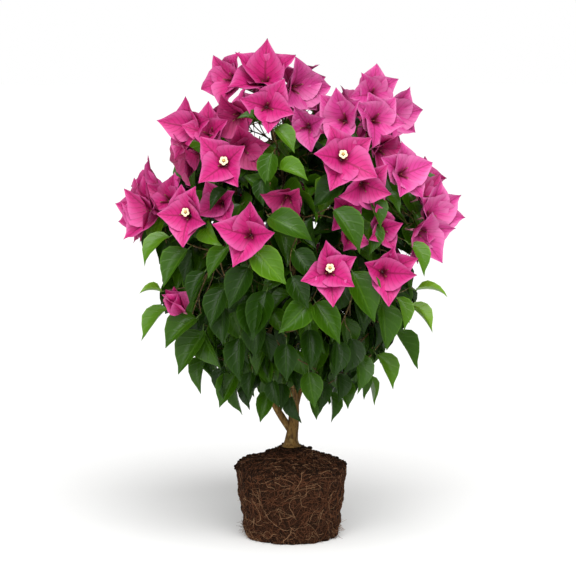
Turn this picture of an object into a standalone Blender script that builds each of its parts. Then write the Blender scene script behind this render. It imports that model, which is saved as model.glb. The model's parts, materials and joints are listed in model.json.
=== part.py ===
"""A young bougainvillea bush that stands on its bare root ball.

Metres, +Z up, the front of the plant towards -Y. The origin is the middle of the
root ball's flat underside. The trunk stands on the mound, a second stem forks
off low down, boughs leave them at several heights, and each bough ends at a mass
of foliage. The crown is a ball that is a little taller than wide. Every mass
keeps to the cone of the crown whose directions lie nearest its own, so the
masses fill the crown with no overlap: blossom on the upper side, leaves hanging
like shingles on the lower side.
"""

import math
import random

import bmesh
import bpy
from mathutils import Vector, noise
from mathutils.bvhtree import BVHTree

PLANT = "bougainvillea_bush"
SEED = 5
CLEAR = 0.0003
MERGE = 0.00001

# Root ball: a plug of peat, moulded by the pot that it grew in.
BALL_FOOT_RADIUS = 0.055
BALL_RIM_RADIUS = 0.0655
BALL_RIM_HEIGHT = 0.088
BALL_ROUNDING = 0.007
MOUND_RISE = 0.018
MOUND_TOP_RADIUS = 0.014
BALL_SIDES = 24
BALL_LUMP_SHARE = 0.035
BALL_LUMPS_PER_METRE = 45.0

# Trunk and stems.
TRUNK_FOOT = BALL_RIM_HEIGHT + MOUND_RISE + CLEAR
TRUNK_RADIUS = 0.0074
TRUNK_TIP_RADIUS = 0.0030
FLARE_RADIUS = 0.0042
FLARE_HEIGHT = 0.008
TRUNK_BENDS = ((0.0030, 0.0, 0.150), (-0.0020, 0.0020, 0.215), (0.0040, 0.0, 0.290), (-0.0060, -0.004, 0.365))
FORK_HEIGHT = 0.123
LEFT_STEM_RADIUS = 0.0046
LEFT_STEM_BENDS = ((-0.0200, 0.0, 0.157), (-0.0370, 0.0, 0.205), (-0.0480, -0.012, 0.285))
BOUGH_SHARE = 0.62
BOUGH_RISE = 0.16
BOUGH_TIP_RADIUS = 0.0021
LIMB_STEPS = 3
BOUGH_POINTS = 5

# Crown: an egg about CROWN_MIDDLE, the surface that the outermost tips reach.
CROWN_MIDDLE = Vector((-0.002, 0.0, 0.365))
CROWN_HALF_WIDTH = 0.205
CROWN_HALF_HEIGHT = 0.234
CROWN_NARROWING = 0.016
CROWN_SLACK = 1.02
BOUGH_REACH = 0.40
LOW_BOUGH_EXTRA = 0.15
STEM_REACH = 0.74
BLOSSOM_REACH = 0.90
LEAF_REACH = 0.85
SHOOT_COUNT = 226
SKIRT_ELEVATION = math.radians(-64)
SHADE_ELEVATION = math.radians(-22)
SHADE_THINNING = 4
LEAD_ROOM = math.radians(11.5)
BLOSSOM_FROM = math.radians(-24)
BLOSSOM_FULL = math.radians(22)
BLOSSOM_MOST = 0.88
GOLDEN_ANGLE = math.pi * (3 - math.sqrt(5))
SPACE_MARGIN = 0.0004

# Each mass: the way it grows from the crown's middle as (azimuth from the front
# towards +X, elevation) in degrees, the limb that carries it, and where on it as
# a share of its length. A share of 1 sits on that limb's own tip.
MASSES = {
    "top": (-50, 76, "trunk", 1.0),
    "front_top": (-6, 38, "trunk", 0.78),
    "upper_left": (-68, 36, "left_stem", 0.86),
    "upper_right": (60, 45, "trunk", 0.73),
    "upper_back": (165, 48, "trunk", 0.83),
    "left": (-64, 6, "left_stem", 1.0),
    "front_left": (-30, -5, "trunk", 0.46),
    "front": (6, 9, "trunk", 0.66),
    "front_right": (28, -18, "trunk", 0.56),
    "right": (70, 8, "trunk", 0.50),
    "back_right": (122, 12, "trunk", 0.62),
    "back": (176, 4, "trunk", 0.54),
    "back_left": (-122, 12, "trunk", 0.69),
    "low_front": (-8, -44, "trunk", 0.24),
    "low_left": (-80, -40, "left_stem", 0.33),
    "low_right": (66, -44, "trunk", 0.36),
    "low_back_right": (136, -38, "trunk", 0.28),
    "low_back_left": (-148, -38, "trunk", 0.41),
}

# The blossoms that lead the front of the plant, as (azimuth, elevation) in degrees.
LEAD_BLOSSOMS = (
    (-40, 78), (-64, 63), (35, 66), (-11, 49), (-28, 27), (-60, 43), (-53, 27),
    (-46, 6), (-79, 12), (-18, -2), (21, 31), (57, 46), (43, 20), (66, 4), (91, 10),
    (15, -15), (41, -17), (-88, 30),
)

# Twigs: each leaves the wood that it can reach with the least effort, which
# counts its length, how far it turns, and the way back to the mass's foot.
MASS_STEM_RADIUS = 0.0022
STEM_STRAIGHT = 0.003
STEM_POINTS = 4
STEM_SHARES = (0.15, 0.35, 0.55, 0.75, 1.0)
TWIG_RADIUS = 0.0015
TWIG_TIP_RADIUS = 0.0011
WOOD_SHARES = (0.35, 0.65)
TWIG_TRIES = 4
TURN_EASY = math.radians(25)
PATH_WEIGHT = 0.30

# Leaves and blossom.
UPWARD = Vector((0.0, 0.0, 1.0))
BLADE_SIZES = (1.0, 0.86, 0.74)
REACH_PLAY = (-0.035, 0.025)
BLADE_THICKNESS = 0.0012
BLADE_SINK = 0.0006
BLADE_BELLY = 0.16
BLADE_WIDEST = 0.42
LEAF_LENGTH = 0.060
LEAF_WIDTH = 0.036
LEAF_SIZES = (0.84, 1.08)
LEAF_FOLD = 0.10
LEAF_OUT = 0.42
LEAF_SPREAD = 0.80
LEAF_DROOP = 0.62
LEAF_TO_LIGHT = 0.45
LEAF_SPACING = 0.009
LEAF_TRIES = 9
LEAF_ROOM = 0.012
LEAVES_ON_SHOOT = 3
LEAVES_UNDER_BLOSSOM = 2
BRACT_LENGTH = 0.040
BRACT_LIFT = math.radians(24)
BLOSSOM_LOBES = (4, 5, 5)
BLOSSOM_DEPTHS = (0.0, 0.07, 0.14)
BLOSSOM_TO_LIGHT = 0.12
BLOSSOM_ROOM = 0.021
NOTCH_SHARE = 0.52
THROAT_DEPTH = 0.0011

# Colours: bark, peat, leaf and bract as (red, green, blue, roughness).
FINISHES = {
    "bark": (0.080, 0.042, 0.012, 0.85),
    "peat": (0.030, 0.014, 0.007, 0.95),
    "leaf": (0.035, 0.085, 0.010, 0.45),
    "bract": (0.620, 0.045, 0.260, 0.55),
}


def clear_scene():
    """Remove the objects that a new file starts with."""
    for old in list(bpy.data.objects):
        bpy.data.objects.remove(old, do_unlink=True)


def new_collection(name):
    """Add a collection to the scene."""
    made = bpy.data.collections.new(name)
    bpy.context.scene.collection.children.link(made)
    return made


def make_material(name, finish):
    """A Principled material from one row of FINISHES."""
    red, green, blue, roughness = FINISHES[finish]
    made = bpy.data.materials.new(name)
    made.use_nodes = True
    shader = made.node_tree.nodes["Principled BSDF"]
    shader.inputs["Base Color"].default_value = (red, green, blue, 1.0)
    shader.inputs["Roughness"].default_value = roughness
    shader.inputs["Metallic"].default_value = 0.0
    made.diffuse_color = (red, green, blue, 1.0)
    return made


def way_from_angles(azimuth, elevation):
    """The unit direction at an azimuth from the front (-Y) and an elevation, in radians."""
    flat = math.cos(elevation)
    return Vector((flat * math.sin(azimuth), -flat * math.cos(azimuth), math.sin(elevation)))


def crown_radius(way):
    """How far the crown's outermost tips reach from its middle along a direction."""
    width = CROWN_HALF_WIDTH - CROWN_NARROWING * max(way.z, 0.0)
    flat = math.hypot(way.x, way.y) / width
    return 1.0 / math.hypot(flat, way.z / CROWN_HALF_HEIGHT)


def crown_point(way, reach):
    """The point at a share of the crown's radius along a direction."""
    return CROWN_MIDDLE + way * crown_radius(way) * reach


def smooth_line(points, steps):
    """A Catmull-Rom line through the points, with steps pieces between two of them."""
    ends = [points[0], *points, points[-1]]
    line = []
    for before, start, end, after in zip(ends, ends[1:], ends[2:], ends[3:]):
        for step in range(steps):
            t = step / steps
            line.append(0.5 * (2 * start + (end - before) * t
                               + (2 * before - 5 * start + 4 * end - after) * t ** 2
                               + (3 * start - before - 3 * end + after) * t ** 3))
    return [*line, points[-1]]


def bent_line(start, pull, end, count):
    """Points on a quadratic curve from start to end, drawn towards pull."""
    shares = [step / (count - 1) for step in range(count)]
    return [start.lerp(pull, t).lerp(pull.lerp(end, t), t) for t in shares]


def at_share(line, share):
    """The point and the direction at a share of a line's pieces."""
    place = share * (len(line) - 1)
    index = min(int(place), len(line) - 2)
    start, end = line[index], line[index + 1]
    return start.lerp(end, place - index), (end - start).normalized()


def side_frame(axis, up):
    """Two unit vectors square to axis, the first as near to up as can be."""
    first = up - axis * up.dot(axis)
    if first.length < 0.05:
        first = axis.orthogonal()
    first.normalize()
    return first, axis.cross(first)


def link_mesh(name, mesh, collection, material=None):
    """Put a mesh in the scene as an object."""
    made = bpy.data.objects.new(name, mesh)
    collection.objects.link(made)
    if material is not None:
        mesh.materials.append(material)
    return made


def evaluated_mesh(thing):
    """The mesh of an object with its modifiers or its bevel applied."""
    graph = bpy.context.evaluated_depsgraph_get()
    graph.update()
    return bpy.data.meshes.new_from_object(thing.evaluated_get(graph))


def tidy_mesh(mesh):
    """Weld a mesh's caps and turn its faces out."""
    shape = bmesh.new()
    shape.from_mesh(mesh)
    bmesh.ops.remove_doubles(shape, verts=shape.verts, dist=MERGE)
    bmesh.ops.recalc_face_normals(shape, faces=shape.faces)
    shape.to_mesh(mesh)
    shape.free()
    return mesh


def triangle_profile(collection):
    """The three-sided section of a twig, as a closed curve of unit radius."""
    curve = bpy.data.curves.new("twig_section", "CURVE")
    spline = curve.splines.new("POLY")
    spline.points.add(2)
    for index, point in enumerate(spline.points):
        angle = index * math.tau / 3
        point.co = (math.cos(angle), math.sin(angle), 0.0, 1.0)
    spline.use_cyclic_u = True
    guide = bpy.data.objects.new("twig_section", curve)
    guide.hide_render = True
    guide.display_type = "WIRE"
    collection.objects.link(guide)
    return guide


def tube_mesh(name, line, radii, detail, section=None):
    """A closed tube along a line, its radius given at each point, as a mesh.

    With a section the tube has that outline, or else it is round and detail is
    its bevel resolution.
    """
    curve = bpy.data.curves.new(name, "CURVE")
    curve.dimensions = "3D"
    curve.twist_mode = "MINIMUM"
    curve.use_fill_caps = True
    if section is None:
        curve.bevel_depth = 1.0
        curve.bevel_resolution = detail
    else:
        curve.bevel_mode = "OBJECT"
        curve.bevel_object = section
    spline = curve.splines.new("POLY")
    spline.points.add(len(line) - 1)
    for point, place, radius in zip(spline.points, line, radii):
        point.co = (*place, 1.0)
        point.radius = radius
    guide = bpy.data.objects.new(name, curve)
    bpy.context.scene.collection.objects.link(guide)
    mesh = tidy_mesh(evaluated_mesh(guide))
    bpy.data.objects.remove(guide, do_unlink=True)
    bpy.data.curves.remove(curve)
    mesh.name = name
    return mesh


def smooth_shade(thing):
    """Shade a round piece smooth, with its cuts left sharp."""
    thing.data.shade_smooth()
    thing.data.set_sharp_from_angle(angle=math.radians(40))


def root_ball_outline():
    """The turned outline of the root ball, from the middle of its top down to its foot."""
    outline = [Vector((0.0, 0.0, BALL_RIM_HEIGHT + MOUND_RISE)),
               Vector((MOUND_TOP_RADIUS, 0.0, BALL_RIM_HEIGHT + MOUND_RISE))]
    slope = (0.75, 0.42, 0.18)
    for index, rise in enumerate(slope, start=1):
        share = index / (len(slope) + 1)
        reach = MOUND_TOP_RADIUS + (BALL_RIM_RADIUS - BALL_ROUNDING - MOUND_TOP_RADIUS) * share
        outline.append(Vector((reach, 0.0, BALL_RIM_HEIGHT + MOUND_RISE * rise)))
    for step in range(3):
        angle = math.radians(90 - 45 * step)
        outline.append(Vector((
            BALL_RIM_RADIUS - BALL_ROUNDING + BALL_ROUNDING * math.cos(angle), 0.0,
            BALL_RIM_HEIGHT - BALL_ROUNDING + BALL_ROUNDING * math.sin(angle))))
    rings = 3
    side_top = BALL_RIM_HEIGHT - BALL_ROUNDING
    side_foot = 0.4 * BALL_ROUNDING
    for step in range(1, rings + 1):
        share = step / rings
        outline.append(Vector((
            BALL_RIM_RADIUS + (BALL_FOOT_RADIUS - BALL_RIM_RADIUS) * share, 0.0,
            side_top + (side_foot - side_top) * share)))
    outline.append(Vector((BALL_FOOT_RADIUS - side_foot, 0.0, 0.0)))
    outline.append(Vector((0.0, 0.0, 0.0)))
    return outline


def build_root_ball(plant):
    """The peat plug: a turned plug with a mound, its side pushed into shallow lumps."""
    outline = root_ball_outline()
    mesh = bpy.data.meshes.new("root_ball")
    mesh.from_pydata(outline, [(index, index + 1) for index in range(len(outline) - 1)], [])
    ball = link_mesh("root_ball", mesh, plant, make_material("moist_peat", "peat"))
    screw = ball.modifiers.new("turn", "SCREW")
    screw.steps = BALL_SIDES
    screw.render_steps = BALL_SIDES
    screw.use_merge_vertices = True
    screw.merge_threshold = MERGE
    turned = evaluated_mesh(ball)
    ball.modifiers.clear()
    ball.data = tidy_mesh(turned)
    for vertex in ball.data.vertices:
        if math.hypot(vertex.co.x, vertex.co.y) <= MOUND_TOP_RADIUS + MERGE:
            continue
        swell = 1.0 + BALL_LUMP_SHARE * noise.noise(vertex.co * BALL_LUMPS_PER_METRE)
        vertex.co.x *= swell
        vertex.co.y *= swell
    smooth_shade(ball)
    return ball


def trunk_limb():
    """The trunk's line and radii, from its level cut on the mound to its tip."""
    foot = Vector((0.0, 0.0, TRUNK_FOOT))
    rise = Vector((0.0, 0.0, TRUNK_FOOT + FLARE_HEIGHT))
    tip = crown_point(mass_way("top"), BOUGH_REACH)
    line = smooth_line([rise, *(Vector(bend) for bend in TRUNK_BENDS), tip], LIMB_STEPS)
    line = [foot, foot.lerp(rise, 0.4), *line]
    last = len(line) - 1
    radii = []
    for index, place in enumerate(line):
        taper = TRUNK_RADIUS + (TRUNK_TIP_RADIUS - TRUNK_RADIUS) * index / last
        radii.append(taper + FLARE_RADIUS * math.exp(-(place.z - TRUNK_FOOT) / (0.6 * FLARE_HEIGHT)))
    return line, radii


def left_stem_limb(trunk_line):
    """The second stem's line and radii, from inside the trunk at the fork to its tip."""
    start = min(trunk_line, key=lambda place: abs(place.z - FORK_HEIGHT)).copy()
    tip = crown_point(mass_way("left"), BOUGH_REACH)
    line = smooth_line([start, *(Vector(bend) for bend in LEFT_STEM_BENDS), tip], LIMB_STEPS)
    last = len(line) - 1
    radii = [LEFT_STEM_RADIUS + (BOUGH_TIP_RADIUS - LEFT_STEM_RADIUS) * index / last
             for index in range(last + 1)]
    return line, radii


def mass_way(name):
    """The unit direction in which a mass grows from the crown's middle."""
    azimuth, elevation = MASSES[name][:2]
    return way_from_angles(math.radians(azimuth), math.radians(elevation))


def bough_limb(name, parent_line, parent_radii):
    """The line and radii of the bough that carries a mass, from inside its parent limb."""
    share = MASSES[name][3]
    start, along = at_share(parent_line, share)
    way = mass_way(name)
    end = crown_point(way, BOUGH_REACH + LOW_BOUGH_EXTRA * max(0.0, -way.z))
    pull = start.lerp(end, 0.5) + along * BOUGH_RISE * (end - start).length
    line = bent_line(start, pull, end, BOUGH_POINTS)
    thick = BOUGH_SHARE * parent_radii[round(share * (len(parent_radii) - 1))]
    thick = max(thick, BOUGH_TIP_RADIUS + 0.0003)
    last = len(line) - 1
    return line, [thick + (BOUGH_TIP_RADIUS - thick) * index / last for index in range(last + 1)]


def grown_room(name, line, radii, detail, guides):
    """A limb's own shape grown by the clearance, which its neighbours stay out of."""
    first = (line[0] - line[1]).normalized() * CLEAR
    last = (line[-1] - line[-2]).normalized() * CLEAR
    longer = [line[0] + first, *line[1:-1], line[-1] + last * 0.5]
    mesh = tube_mesh(f"{name}_room", longer, [radius + CLEAR for radius in radii], detail)
    room = link_mesh(f"{name}_room", mesh, guides)
    room.hide_render = True
    room.display_type = "WIRE"
    return room


def build_limb(name, line, radii, detail, plant, guides, parent_room):
    """A tapering limb, cut back to stand clear of the limb that it leaves."""
    mesh = tube_mesh(name, line, radii, detail)
    limb = link_mesh(name, mesh, plant, make_material(f"{name}_bark", "bark"))
    smooth_shade(limb)
    if parent_room is not None:
        cut = limb.modifiers.new("leave_parent", "BOOLEAN")
        cut.operation = "DIFFERENCE"
        cut.object = parent_room
    return limb, grown_room(name, line, radii, detail, guides)


def crown_shoots():
    """Every shoot of the crown as (direction, whether it blossoms, its number).

    The lead blossoms come first. The others are spread over the crown by the
    golden angle, with room left round the leads, fewer on the shaded lower side
    and none under the skirt.
    """
    leads = [way_from_angles(math.radians(azimuth), math.radians(elevation))
             for azimuth, elevation in LEAD_BLOSSOMS]
    shoots = [(way, True, number) for number, way in enumerate(leads)]
    for step in range(SHOOT_COUNT):
        height = 1.0 - (2.0 * step + 1.0) / SHOOT_COUNT
        elevation = math.asin(height)
        way = way_from_angles(step * GOLDEN_ANGLE, elevation)
        if elevation < SKIRT_ELEVATION or any(way.angle(lead) < LEAD_ROOM for lead in leads):
            continue
        if elevation < SHADE_ELEVATION and step % SHADE_THINNING == 0:
            continue
        chance = BLOSSOM_MOST * (elevation - BLOSSOM_FROM) / (BLOSSOM_FULL - BLOSSOM_FROM)
        draw = random.Random(f"{SEED} kind {step}").random()
        shoots.append((way, draw < min(chance, BLOSSOM_MOST), len(leads) + step))
    return shoots


def nearest_mass(way):
    """The name of the mass whose own direction is nearest to a direction."""
    return max(MASSES, key=lambda name: mass_way(name).dot(way))


def space_planes(name):
    """The planes through the crown's middle that bound a mass's space, as unit normals."""
    own = mass_way(name)
    return [(own - mass_way(other)).normalized() for other in MASSES if other != name]


def blade_points(root, way, up, length, width):
    """A leaf as the six corners of a pulled-out octahedron, as a dictionary.

    The keys are the corners of a unit octahedron: -X is the root, +X the tip,
    +Y and -Y the edges and +Z and -Z the two faces.
    """
    rise, side = side_frame(way, up)
    fold = rise * LEAF_FOLD * width
    edge = root + way * BLADE_WIDEST * length + fold
    belly = root + way * BLADE_BELLY * length
    return {
        (-1, 0, 0): root - way * BLADE_SINK,
        (1, 0, 0): root + way * length - fold,
        (0, 1, 0): edge + side * width / 2,
        (0, -1, 0): edge - side * width / 2,
        (0, 0, 1): belly + rise * BLADE_THICKNESS / 2,
        (0, 0, -1): belly - rise * BLADE_THICKNESS / 2,
    }


def blade_mesh(name, corners):
    """The closed mesh of a blade: an octahedron whose corners are moved to their places."""
    shape = bmesh.new()
    bmesh.ops.create_uvsphere(shape, u_segments=4, v_segments=2, radius=1.0)
    for vertex in shape.verts:
        vertex.co = corners[tuple(round(value) for value in vertex.co)]
    bmesh.ops.recalc_face_normals(shape, faces=shape.faces)
    mesh = bpy.data.meshes.new(name)
    shape.to_mesh(mesh)
    shape.free()
    return mesh


def blossom_mesh(name, place, face, lobes, turn, length):
    """The closed mesh of a blossom: a flat ball whose rim is pulled out into pointed lobes.

    The rim's corners are lobe tips and notches by turns. Its two poles are the
    throat and the point where the twig joins.
    """
    first, second = side_frame(face, UPWARD)
    shape = bmesh.new()
    bmesh.ops.create_uvsphere(shape, u_segments=2 * lobes, v_segments=2, radius=1.0)
    for vertex in shape.verts:
        if abs(vertex.co.z) > 0.5:
            vertex.co = place + face * THROAT_DEPTH * vertex.co.z
            continue
        corner = math.atan2(vertex.co.y, vertex.co.x)
        is_tip = round(corner * lobes / math.pi) % 2 == 0
        reach = length * (1.0 if is_tip else NOTCH_SHARE)
        outward = first * math.cos(corner + turn) + second * math.sin(corner + turn)
        vertex.co = place + (outward * math.cos(BRACT_LIFT) + face * math.sin(BRACT_LIFT)) * reach
    bmesh.ops.recalc_face_normals(shape, faces=shape.faces)
    mesh = bpy.data.meshes.new(name)
    shape.to_mesh(mesh)
    shape.free()
    return mesh


class Mass:
    """One mass of foliage while it grows: its space, its pieces and what it keeps clear of."""

    def __init__(self, name, rooms, section, colours, plant):
        self.name = name
        self.way = mass_way(name)
        self.planes = space_planes(name)
        self.rooms = rooms
        self.section = section
        self.colours = colours
        self.plant = plant
        self.pieces = new_collection(f"{name}_pieces")
        self.blades = []
        self.wood = []

    def holds(self, points):
        """Whether all the points lie within the mass's own space and the crown."""
        for point in points:
            arm = point - CROWN_MIDDLE
            if arm.length > crown_radius(arm.normalized()) * CROWN_SLACK:
                return False
            if any(plane.dot(arm) < SPACE_MARGIN for plane in self.planes):
                return False
        return True

    def add(self, name, mesh, finish, own=None):
        """Keep a piece that lies within the space and touches no limb and no blade.

        own is the number of the blade that the piece may touch: a blade's own, or
        that of the blossom that a twig carries.
        """
        points = [vertex.co for vertex in mesh.vertices]
        tree = BVHTree.FromPolygons(points, [tuple(face.vertices) for face in mesh.polygons])
        others = [blade for blade, number in self.blades if number != own]
        if not self.holds(points) or any(tree.overlap(other) for other in self.rooms + others):
            bpy.data.meshes.remove(mesh)
            return False
        if finish != "bark":
            self.blades.append((tree, own))
        link_mesh(name, mesh, self.pieces, self.colours[finish])
        return True

    def settle(self, place, room):
        """A place moved off the bounds of the mass's space, by at most room, at its own reach."""
        arm = place - CROWN_MIDDLE
        reach = arm.length
        for plane in self.planes:
            arm += plane * max(0.0, room - plane.dot(arm))
        return CROWN_MIDDLE + arm.normalized() * reach

    def easiest_wood(self, place):
        """The points of the wood grown so far that a twig to place may leave, easiest first."""
        def effort(node):
            point, heading, path = node
            reach = place - point
            turn = heading.angle(reach)
            return reach.length * (1.0 + max(0.0, turn - TURN_EASY)) + PATH_WEIGHT * path
        return sorted(self.wood, key=effort)[:TWIG_TRIES]

    def add_twig(self, name, place, own=None):
        """A three-sided twig from the nearest wood to place; its line, or None."""
        radii = (TWIG_RADIUS, TWIG_TIP_RADIUS)
        for foot, _, path in self.easiest_wood(place):
            line = (foot, place)
            if self.add(name, tube_mesh(name, line, radii, 0, self.section), "bark", own):
                for share in WOOD_SHARES:
                    point, along = at_share(line, share)
                    self.wood.append((point, along, path + share * (place - foot).length))
                return line
        return None

    def add_blade(self, name, number, root, way, up, size):
        """A leaf, made smaller where it would leave the space or touch another piece."""
        for scale in BLADE_SIZES:
            corners = blade_points(root, way, up, LEAF_LENGTH * size * scale, LEAF_WIDTH * size * scale)
            if self.add(name, blade_mesh(name, corners), "leaf", number):
                return True
        return False

    def add_leaves(self, name, number, line, count, dice):
        """Leaves up a shoot, each a golden angle on, hanging out and down."""
        tip = line[-1]
        back = (line[-2] - tip).normalized()
        turn = dice.uniform(0.0, math.tau)
        grown = 0
        for index in range(LEAF_TRIES):
            if grown == count:
                break
            root = tip + back * grown * LEAF_SPACING
            outward = (root - CROWN_MIDDLE).normalized()
            first, second = side_frame(outward, UPWARD)
            angle = turn + index * GOLDEN_ANGLE
            spread = first * math.cos(angle) + second * math.sin(angle)
            way = (outward * LEAF_OUT + spread * LEAF_SPREAD - UPWARD * LEAF_DROOP).normalized()
            up = outward + UPWARD * LEAF_TO_LIGHT
            size = dice.uniform(*LEAF_SIZES)
            grown += self.add_blade(f"{name}_{index}", (number, index), root, way, up, size)

    def add_blossom(self, name, number, way, dice):
        """A blossom on its twig: a star of bracts that opens like a shallow trumpet.

        Where it would touch another blossom it sits deeper, or is smaller.
        """
        lobes = dice.choice(BLOSSOM_LOBES)
        turn = dice.uniform(0.0, math.tau)
        reach = BLOSSOM_REACH + dice.uniform(*REACH_PLAY)
        for size in BLADE_SIZES:
            for depth in BLOSSOM_DEPTHS:
                place = self.settle(crown_point(way, reach - depth), BLOSSOM_ROOM)
                face = ((place - CROWN_MIDDLE).normalized() + UPWARD * BLOSSOM_TO_LIGHT).normalized()
                mesh = blossom_mesh(name, place, face, lobes, turn, BRACT_LENGTH * size)
                if not self.add(name, mesh, "bract", number):
                    continue
                line = self.add_twig(f"{name}_twig", place, number)
                if line is not None:
                    return line
                self.drop_last()
        return None

    def drop_last(self):
        """Take the last piece off again."""
        piece = self.pieces.objects[-1]
        self.blades.pop()
        bpy.data.objects.remove(piece, do_unlink=True)

    def grow(self, tip, along, shoots):
        """Grow the mass's stem from its limb's tip, then a twig to each shoot."""
        root = tip + along * CLEAR
        start = root + along * STEM_STRAIGHT
        end = crown_point(self.way, STEM_REACH)
        pull = start + along * 0.35 * (end - start).length
        stem = [root, *bent_line(start, pull, end, STEM_POINTS)]
        last = len(stem) - 1
        radii = [MASS_STEM_RADIUS + (TWIG_RADIUS - MASS_STEM_RADIUS) * index / last
                 for index in range(last + 1)]
        for share in STEM_SHARES:
            point, heading = at_share(stem, share)
            self.wood.append((point, heading, share * (end - root).length))
        body = link_mesh(self.name, tube_mesh(self.name, stem, radii, 0, self.section), self.plant,
                         self.colours["bark"])
        for way, blossoms, number in sorted(shoots, key=lambda shoot: self.way.angle(shoot[0])):
            dice = random.Random(f"{SEED} shoot {number}")
            name = f"{self.name}_{number}"
            if blossoms:
                line = self.add_blossom(f"{name}_blossom", number, way, dice)
                if line is not None:
                    lower = (line[0], line[0].lerp(line[1], 0.6))
                    self.add_leaves(f"{name}_leaf", number, lower, LEAVES_UNDER_BLOSSOM, dice)
                continue
            place = self.settle(crown_point(way, LEAF_REACH + dice.uniform(*REACH_PLAY)), LEAF_ROOM)
            line = self.add_twig(f"{name}_twig", place)
            if line is not None:
                self.add_leaves(f"{name}_leaf", number, line, LEAVES_ON_SHOOT, dice)
        self.fuse(body)

    def fuse(self, body):
        """Join the stem and all that grew on it into one solid, and drop loose scraps."""
        join = body.modifiers.new("join", "BOOLEAN")
        join.operation = "UNION"
        join.operand_type = "COLLECTION"
        join.collection = self.pieces
        join.material_mode = "TRANSFER"
        joined = evaluated_mesh(body)
        body.modifiers.clear()
        body.data = keep_largest(joined)
        for piece in list(self.pieces.objects):
            bpy.data.objects.remove(piece, do_unlink=True)
        bpy.data.collections.remove(self.pieces)


def keep_largest(mesh):
    """Drop every loose part of a mesh but the one with the most faces."""
    shape = bmesh.new()
    shape.from_mesh(mesh)
    left = set(shape.verts)
    groups = []
    while left:
        group = {left.pop()}
        edge = list(group)
        while edge:
            vertex = edge.pop()
            for link in vertex.link_edges:
                other = link.other_vert(vertex)
                if other not in group:
                    group.add(other)
                    edge.append(other)
        left -= group
        groups.append(group)
    groups.sort(key=len)
    loose = [vertex for group in groups[:-1] for vertex in group]
    bmesh.ops.delete(shape, geom=loose, context="VERTS")
    shape.to_mesh(mesh)
    shape.free()
    return mesh


def main():
    """Build the root ball, the limbs and the masses."""
    clear_scene()
    plant = new_collection(PLANT)
    guides = new_collection("guides")
    build_root_ball(plant)

    lines = {"trunk": trunk_limb()}
    lines["left_stem"] = left_stem_limb(lines["trunk"][0])
    carried = {"top": "trunk", "left": "left_stem"}
    parents = {"trunk": None, "left_stem": "trunk"}
    for name, (_, _, parent, share) in MASSES.items():
        if share < 1.0:
            limb = f"{name}_bough"
            lines[limb] = bough_limb(name, *lines[parent])
            parents[limb] = parent
            carried[name] = limb
    rooms = {}
    for name, (line, radii) in lines.items():
        detail = 3 if name == "trunk" else 2
        parent_room = rooms.get(parents[name])
        _, rooms[name] = build_limb(name, line, radii, detail, plant, guides, parent_room)

    graph = bpy.context.evaluated_depsgraph_get()
    trees = [BVHTree.FromObject(room, graph) for room in rooms.values()]
    section = triangle_profile(guides)
    colours = {finish: make_material(finish, finish) for finish in ("bark", "leaf", "bract")}
    shoots = crown_shoots()
    for name in MASSES:
        mass = Mass(name, trees, section, colours, plant)
        line = lines[carried[name]][0]
        along = (line[-1] - line[-2]).normalized()
        mass.grow(line[-1], along, [shoot for shoot in shoots if nearest_mass(shoot[0]) == name])


main()
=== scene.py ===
"""The finished look of a young bougainvillea bush that stands on its bare root ball.

Metres, +Z up, the front of the plant towards -Y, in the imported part's own frame.
The limbs, the masses and their shoots follow the growth rule of the part's solids.
Here the wood has its bark, every shoot forks on into finer twigs that carry the
leaves, and each blossom is a ring of folded, papery bracts round its small tubes.
"""

import json
import logging
import math
import random
from dataclasses import dataclass, field
from enum import Enum
from functools import cached_property

import bmesh
import bpy
import numpy as np
from mathutils import Matrix, Vector, noise
from mathutils.bvhtree import BVHTree

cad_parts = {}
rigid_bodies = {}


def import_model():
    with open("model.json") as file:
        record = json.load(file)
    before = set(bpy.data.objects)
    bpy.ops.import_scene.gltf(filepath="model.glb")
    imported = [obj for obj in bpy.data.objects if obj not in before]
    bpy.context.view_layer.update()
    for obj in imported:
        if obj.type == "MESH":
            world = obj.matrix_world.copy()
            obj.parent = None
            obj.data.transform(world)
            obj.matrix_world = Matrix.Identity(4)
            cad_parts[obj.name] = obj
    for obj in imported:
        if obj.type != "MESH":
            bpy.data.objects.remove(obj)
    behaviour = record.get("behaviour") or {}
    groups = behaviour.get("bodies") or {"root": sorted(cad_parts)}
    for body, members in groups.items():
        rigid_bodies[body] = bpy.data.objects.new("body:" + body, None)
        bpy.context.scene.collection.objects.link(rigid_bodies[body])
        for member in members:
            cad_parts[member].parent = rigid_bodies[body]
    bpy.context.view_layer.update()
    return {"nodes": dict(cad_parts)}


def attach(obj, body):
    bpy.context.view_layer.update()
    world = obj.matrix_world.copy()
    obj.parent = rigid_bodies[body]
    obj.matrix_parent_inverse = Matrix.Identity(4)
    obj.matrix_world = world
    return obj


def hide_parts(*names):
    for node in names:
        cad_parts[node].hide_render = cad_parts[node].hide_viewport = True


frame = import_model()

LOG = logging.getLogger("bougainvillea")
SEED = 5
GOLDEN_ANGLE = math.pi * (3.0 - math.sqrt(5.0))
UPWARD = Vector((0.0, 0.0, 1.0))
BACKWARD = Vector((0.0, 1.0, 0.0))
BALL_HEIGHT = 0.088
# The eye's place, the point that it looks at, and the height that it takes in there.
EYE = (-0.004, -2.70, 0.60)
AIM = (-0.004, 0.0, 0.2935)
VIEW_HEIGHT = 0.672
BODY = "root"
PATTERN_MAP = "OFBake"
MERGE = 0.00001

Line = list[Vector]
Spot = tuple[float, float]
Socket = bpy.types.NodeSocket
Tree = bpy.types.NodeTree
Thing = bpy.types.Object


# --- Directions, lines and frames ---


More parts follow.
